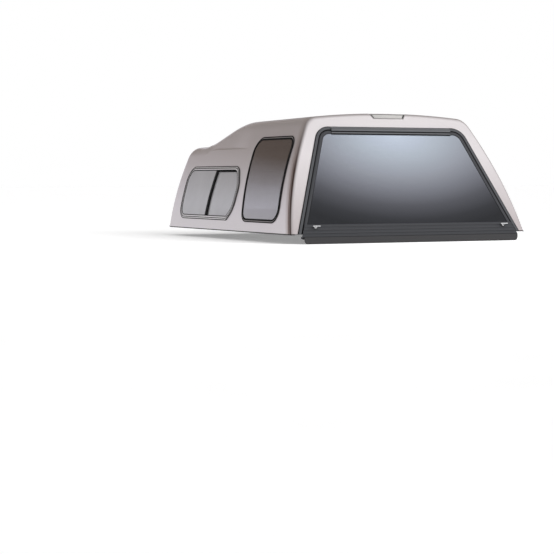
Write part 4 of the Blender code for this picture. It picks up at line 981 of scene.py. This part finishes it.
SKIRT_CORNER, SKIRT_REACH, SKIRT_WALL, SKIRT_ROUND, SHELF_BACK = 25 * MM, 24 * MM, 4 * MM, 5 * MM, -8 * MM
SKIRT_HALF = door_edge(RAIL_BOTTOM * MM, DOOR_INSET) - 10 * MM
SKIRT_TOP = RAIL_BOTTOM * MM - 0.3 * MM
shelf = SKIRT_REACH / math.cos(RAKE)
turns = [math.radians(90) * k / 12 for k in range(13)]
ends = [(SKIRT_HALF - SKIRT_CORNER * (1 - math.sin(t)), SKIRT_CORNER * (1 - math.cos(t))) for t in turns]
rings = []
for x, lift in [(-x, lift) for x, lift in reversed(ends)] + ends:
    corner = on_rear(x, SKIRT_TOP, shelf)
    foot = Vector((x, corner.y, lift))
    inner = on_rear(x, SKIRT_TOP - SKIRT_WALL, shelf - SKIRT_WALL / math.cos(RAKE))
    inner_foot = Vector((x, inner.y, lift))
    over, back, under = (on_rear(x, v, n) for v, n in (
        (SKIRT_TOP, shelf - SKIRT_ROUND), (SKIRT_TOP, SHELF_BACK), (SKIRT_TOP - SKIRT_WALL, SHELF_BACK)))
    edge = corner - Vector((0, 0, SKIRT_ROUND))
    mould = corner.lerp((over + edge) / 2, 0.5)
    rings.append([back, over, mould, edge, foot, inner_foot, inner, under])
make_piece("tailgate_lap", sweep(rings, False), (black_plastic,), "door", ("tailgate_skirt",))
# painted shade: a black strip on the skirt's shelf, where the corner is in shadow
shadow_strip = ((-27.25, 13.3), (-25.8, 13.3), (-25.8, 21), (-27.25, 22))
rubber_piece("skirt_shadow_strip", across_door(shadow_strip, 0.4, 0.0, SKIRT_HALF), "door")
print("rail and skirt made; skirt half length", round(SKIRT_HALF, 4))

# %% [markdown]
# The T-handles are cast zinc under chrome: a neck that swells into a bar with thick ends for the fingers. Turned
# parts are drawn as a profile and spun, and the bar is a loft of ovals joined onto the neck.

# %% Handles
HANDLE_V, HANDLE_FROM_EDGE = 42 * MM, 78 * MM
BAR_HALF, BAR_RADIUS, BAR_OUT, BAR_RINGS = 28 * MM, 4.6 * MM, 35.3 * MM, 24


def spun(profile, x, segments=32):
    """A profile of (radius, outward) points in millimetres, spun about an axis that leaves the door at x."""
    rows = []
    for k in range(segments):
        turn = math.tau * k / segments
        rows.append([on_rear(x + r * MM * math.cos(turn), HANDLE_V + r * MM * math.sin(turn), n * MM)
                     for r, n in profile])
    return sweep(rows, True)


for ending, side in SIDES:
    x = side * (door_edge(HANDLE_V, DOOR_INSET) - HANDLE_FROM_EDGE)
    neck = [(0, 1.9), (3.8, 1.9), (4, 2.3), (4, 17.8), (8.6, 17.8), (9.2, 18.4), (9.2, 19.6), (8.2, 20.6),
            (6, 21.6), (4.6, 24), (4.3, 28), (4.9, 32), (4.4, 36), (0, 36.4)]
    handle = make_piece(f"t_handle{ending}", spun(neck, x), (chrome,), f"handle{ending}", (f"handle{ending}",))
    rings = []
    for k in range(BAR_RINGS + 1):
        along = math.sin(math.radians(-90 + 180 / BAR_RINGS * k))
        radius = BAR_RADIUS * (0.84 + 0.24 * along * along) * math.sqrt(max(1 - along ** 10, 0.03))
        turns = [math.tau * j / 20 for j in range(20)]
        rings.append([on_rear(x + BAR_HALF * along, HANDLE_V + 0.9 * radius * math.cos(t),
                              BAR_OUT + radius * math.sin(t)) for t in turns])
    cut(handle, sweep(rings, False), "UNION")
    smooth(handle.data, 35)
    rosette = [(4.3, 13.3), (16, 13.3), (16, 15.2), (15.2, 16.6), (13.6, 17.2), (11, 17.2), (10.2, 16.4),
               (4.3, 16.4)]
    make_piece(f"rosette{ending}", spun(rosette, x, 40), (black_plastic,), "door", (f"handle_rosette{ending}",))
print("handles made")

# %% [markdown]
# The lamp's lens lies a little back in its housing, so a dark end shows on either side of it. A thin bezel holds
# it. Upright flutes 4 mm apart spread the light of the bulbs, and they are real ridges here.

# %% High lamp
LAMP_RADIUS = 5 * MM


def lamp_ring(inset):
    """The lamp's outline with small rounded corners, moved in."""
    return rounded(lamp_line(0.0), (LAMP_RADIUS,) * 4, inset)


bezel = in_mm(0.5, (0.4, 0.2), (0.4, 2), (3.4, 2.6), (4.4, 1.6), (4.4, -8), (0.4, -8))
make_piece("lamp_bezel", run_round(lamp_ring, bezel, on_rear), (grey_plastic,), "root", ())
LENS_LOW, LENS_HIGH, FLUTES, LENS_END = LAMP_BOTTOM + 4.8 * MM, LAMP_TOP - 4.8 * MM, 56, 15 * MM
LENS_BACK, LENS_FACE, FLUTE_DEPTH = -7 * MM, -1.6 * MM, 0.5 * MM
rings = []
for k in range(4 * FLUTES + 1):
    share = -1 + k / (2 * FLUTES)
    ridge = LENS_FACE + FLUTE_DEPTH * math.cos(math.tau * k / 4)
    low, high = (share * (LAMP_HALF_BOTTOM - LENS_END + LAMP_SLOPE * (v - LAMP_BOTTOM))
                 for v in (LENS_LOW, LENS_HIGH))
    rings.append([on_rear(low, LENS_LOW, LENS_BACK), on_rear(high, LENS_HIGH, LENS_BACK),
                  on_rear(high, LENS_HIGH, ridge), on_rear(low, LENS_LOW, ridge)])
make_piece("fluted_lens", sweep(rings, False), (lens_acrylic,), "root", ("lamp_lens",))
print("lamp made")

# %% [markdown]
# A strip of black foam fills the joint under the foot as far as the paint's edge: a painted shadow along the
# joint.

# %% Painted shadow in the joint
FOOT_SHADOW_ENDS = (-1.002, 0.985)
FOOT_SHADOW_SECTION = ((0.8635, 0.0568), (0.8715, 0.0568), (0.8715, 0.0612), (0.8635, 0.0606))
for ending, side in SIDES:
    foot_shadow_rings = [[Vector((side * x, y, z)) for x, z in FOOT_SHADOW_SECTION] for y in FOOT_SHADOW_ENDS]
    # painted shadow: a dark strip along the foot
    make_piece(f"foot_shadow_strip{ending}", sweep(foot_shadow_rings, False), (foam,), "root", ())
print("seals made")

# %% [markdown]
# Every plain part that already has the right shape keeps it and only gets its finish: seals, clamp rings,
# latches, the lamp's housing and the rear glass.

# %% Finishes for the plain parts
finishes = {
    "base_seal": foam, "rear_seal": rubber, "slider_clamp": anodised, "tall_window_clamp": powder_coat,
    "front_window_clamp": powder_coat, "latch": zinc, "lamp_housing": black_plastic, "door_glass": reflection_painted_glass,
}
finished = [(node, finish) for name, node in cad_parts.items()
            for start, finish in finishes.items() if name.startswith(start)]
for node, finish in finished:
    node.data.materials.clear()
    node.data.materials.append(finish)
print("finished nodes:", len(finished))

# %% [markdown]
# The set is a pale floor under soft light. A little glow, which only the camera and clear glass see, lifts it to
# the white of the background, and the canopy's shadow still shows on it.

# %% Floor
MOTTLE_PER_METRE, FLOOR_LIFT, FLOOR_HALF = 3.0, 0.28, 60


def floor_links(tree):
    place = add_node(tree, "TexCoord")
    mottle = add_node(tree, "TexNoise", {"Scale": MOTTLE_PER_METRE}, {"Vector": (place, "Object")})
    tint = ramp(tree, mottle, "Fac", ((0.3, "#F4F4F4"), (0.7, "#F8F8F8")))
    return {"Base Color": (tint, "Color")}


floor_paint = finish_of("white_floor", {"Roughness": 0.9}, floor_links)
tree = floor_paint.node_tree
shader = next(n for n in tree.nodes if n.type == "BSDF_PRINCIPLED")
output = next(n for n in tree.nodes if n.type == "OUTPUT_MATERIAL")
path = add_node(tree, "LightPath")
seen = add_node(tree, "Math", {"operation": "MAXIMUM"},
                {0: (path, "Is Camera Ray"), 1: (path, "Is Transmission Ray")})
lift = add_node(tree, "Math", {"operation": "MULTIPLY", 1: FLOOR_LIFT}, {0: (seen, "Value")})
glow = add_node(tree, "Emission", {"Color": (1, 1, 1, 1)}, {"Strength": (lift, "Value")})
both = add_node(tree, "AddShader", (), {0: (shader, "BSDF"), 1: (glow, "Emission")})
tree.links.new(both.outputs[0], output.inputs["Surface"])
bm = bmesh.new()
bmesh.ops.create_grid(bm, x_segments=1, y_segments=1, size=FLOOR_HALF)
floor = new_object("floor", mesh_from("floor", bm))
floor.data.materials.append(floor_paint)
print("floor at z = 0")

# %% [markdown]
# The world is white where the camera or a pane looks straight at it. What shines sees a studio instead: white and
# faintly violet round the horizon, dark and warm above the far side, and pale behind the camera. That shading
# is what makes the same paint look lilac low on the side and taupe under the roof. A brown card at the left gives
# the rear corner its dark edge, because only surfaces that turn that way mirror it. A dark screen far to the right
# draws the roof's edge and the right-hand corner against the white.

# %% World
world = bpy.data.worlds.new("studio")
bpy.context.scene.world = world
world.use_nodes = True
tree = world.node_tree
tree.nodes.clear()
place = add_node(tree, "TexCoord")
way = add_node(tree, "SeparateXYZ", (), {"Vector": (place, "Generated")})
far_side = ramp(tree, way, "Z", ((0.0, "#FFFFFF"), (0.18, "#F7F3FC"), (0.33, "#897B74"), (0.45, "#67594F")))
near_side = ramp(tree, way, "Z", ((0.0, "#FFFFFF"), (0.5, "#F2F2F4"), (1.0, "#D8D8DA")))
behind = add_node(tree, "MapRange", {"From Min": 0.3, "From Max": -0.3}, {"Value": (way, "Y")})
studio = add_node(tree, "Mix", {"data_type": "RGBA"},
                  {"Factor": (behind, "Result"), 6: (far_side, "Color"), 7: (near_side, "Color")})
card = add_node(tree, "MapRange", {"From Min": -0.60, "From Max": -0.85, "To Max": 0.9}, {"Value": (way, "X")})
carded = add_node(tree, "Mix", {"data_type": "RGBA", 7: colour("#5A4A43")},
                  {"Factor": (card, "Result"), 6: (studio, 2)})
far_right = add_node(tree, "MapRange", {"From Min": 0.28, "From Max": 0.42}, {"Value": (way, "X")})
far_off = add_node(tree, "MapRange", {"From Min": 0.4, "From Max": 0.6}, {"Value": (way, "Y")})
screen = add_node(tree, "Math", {"operation": "MULTIPLY"}, {0: (far_right, "Result"), 1: (far_off, "Result")})
screened = add_node(tree, "Mix", {"data_type": "RGBA", 7: colour("#57504D")},
                    {"Factor": (screen, "Value"), 6: (carded, 2)})
path = add_node(tree, "LightPath")
sky = add_node(tree, "Mix", {"data_type": "RGBA", 6: (1, 1, 1, 1)},
               {"Factor": (path, "Is Glossy Ray"), 7: (screened, 2)})
soft = add_node(tree, "MapRange", {"To Min": 1.0, "To Max": 0.6}, {"Value": (path, "Is Diffuse Ray")})
background = add_node(tree, "Background", (), {"Color": (sky, 2), "Strength": (soft, "Result")})
add_node(tree, "OutputWorld", (), {"Surface": (background, "Background")})
print("world ready")

# %% [markdown]
# A broad sun from over the camera's right shoulder lights the floor evenly and gives a soft shadow. A square lamp
# nearer the roof lifts the raked rear face, most at its top. Neither shows in the glass, where it would be a
# hard-edged patch.

# %% Lamps
def lamp_at(name, kind, place, aim, watts, settings):
    """A lamp that faces a point."""
    lamp = bpy.data.lights.new(name, kind)
    lamp.energy = watts
    for key, value in settings.items():
        setattr(lamp, key, value)
    holder = new_object(name, lamp)
    holder.location = place
    holder.rotation_euler = (Vector(aim) - Vector(place)).to_track_quat("-Z", "Y").to_euler()
    holder.visible_glossy = False


lamp_at("broad_sun", "SUN", (3.6, -5.2, 4.8), (0, 0, 0), 1.08, {"angle": math.radians(50)})
lamp_at("square_lamp", "AREA", (0.9, -2.6, 2.6), (0.1, -0.7, 0.75), 48, {"size": 1.4})
print("lamps ready")

# %% [markdown]
# Last, the view transform is set to Standard.

# %% Finish
bpy.context.scene.view_settings.view_transform = "Standard"
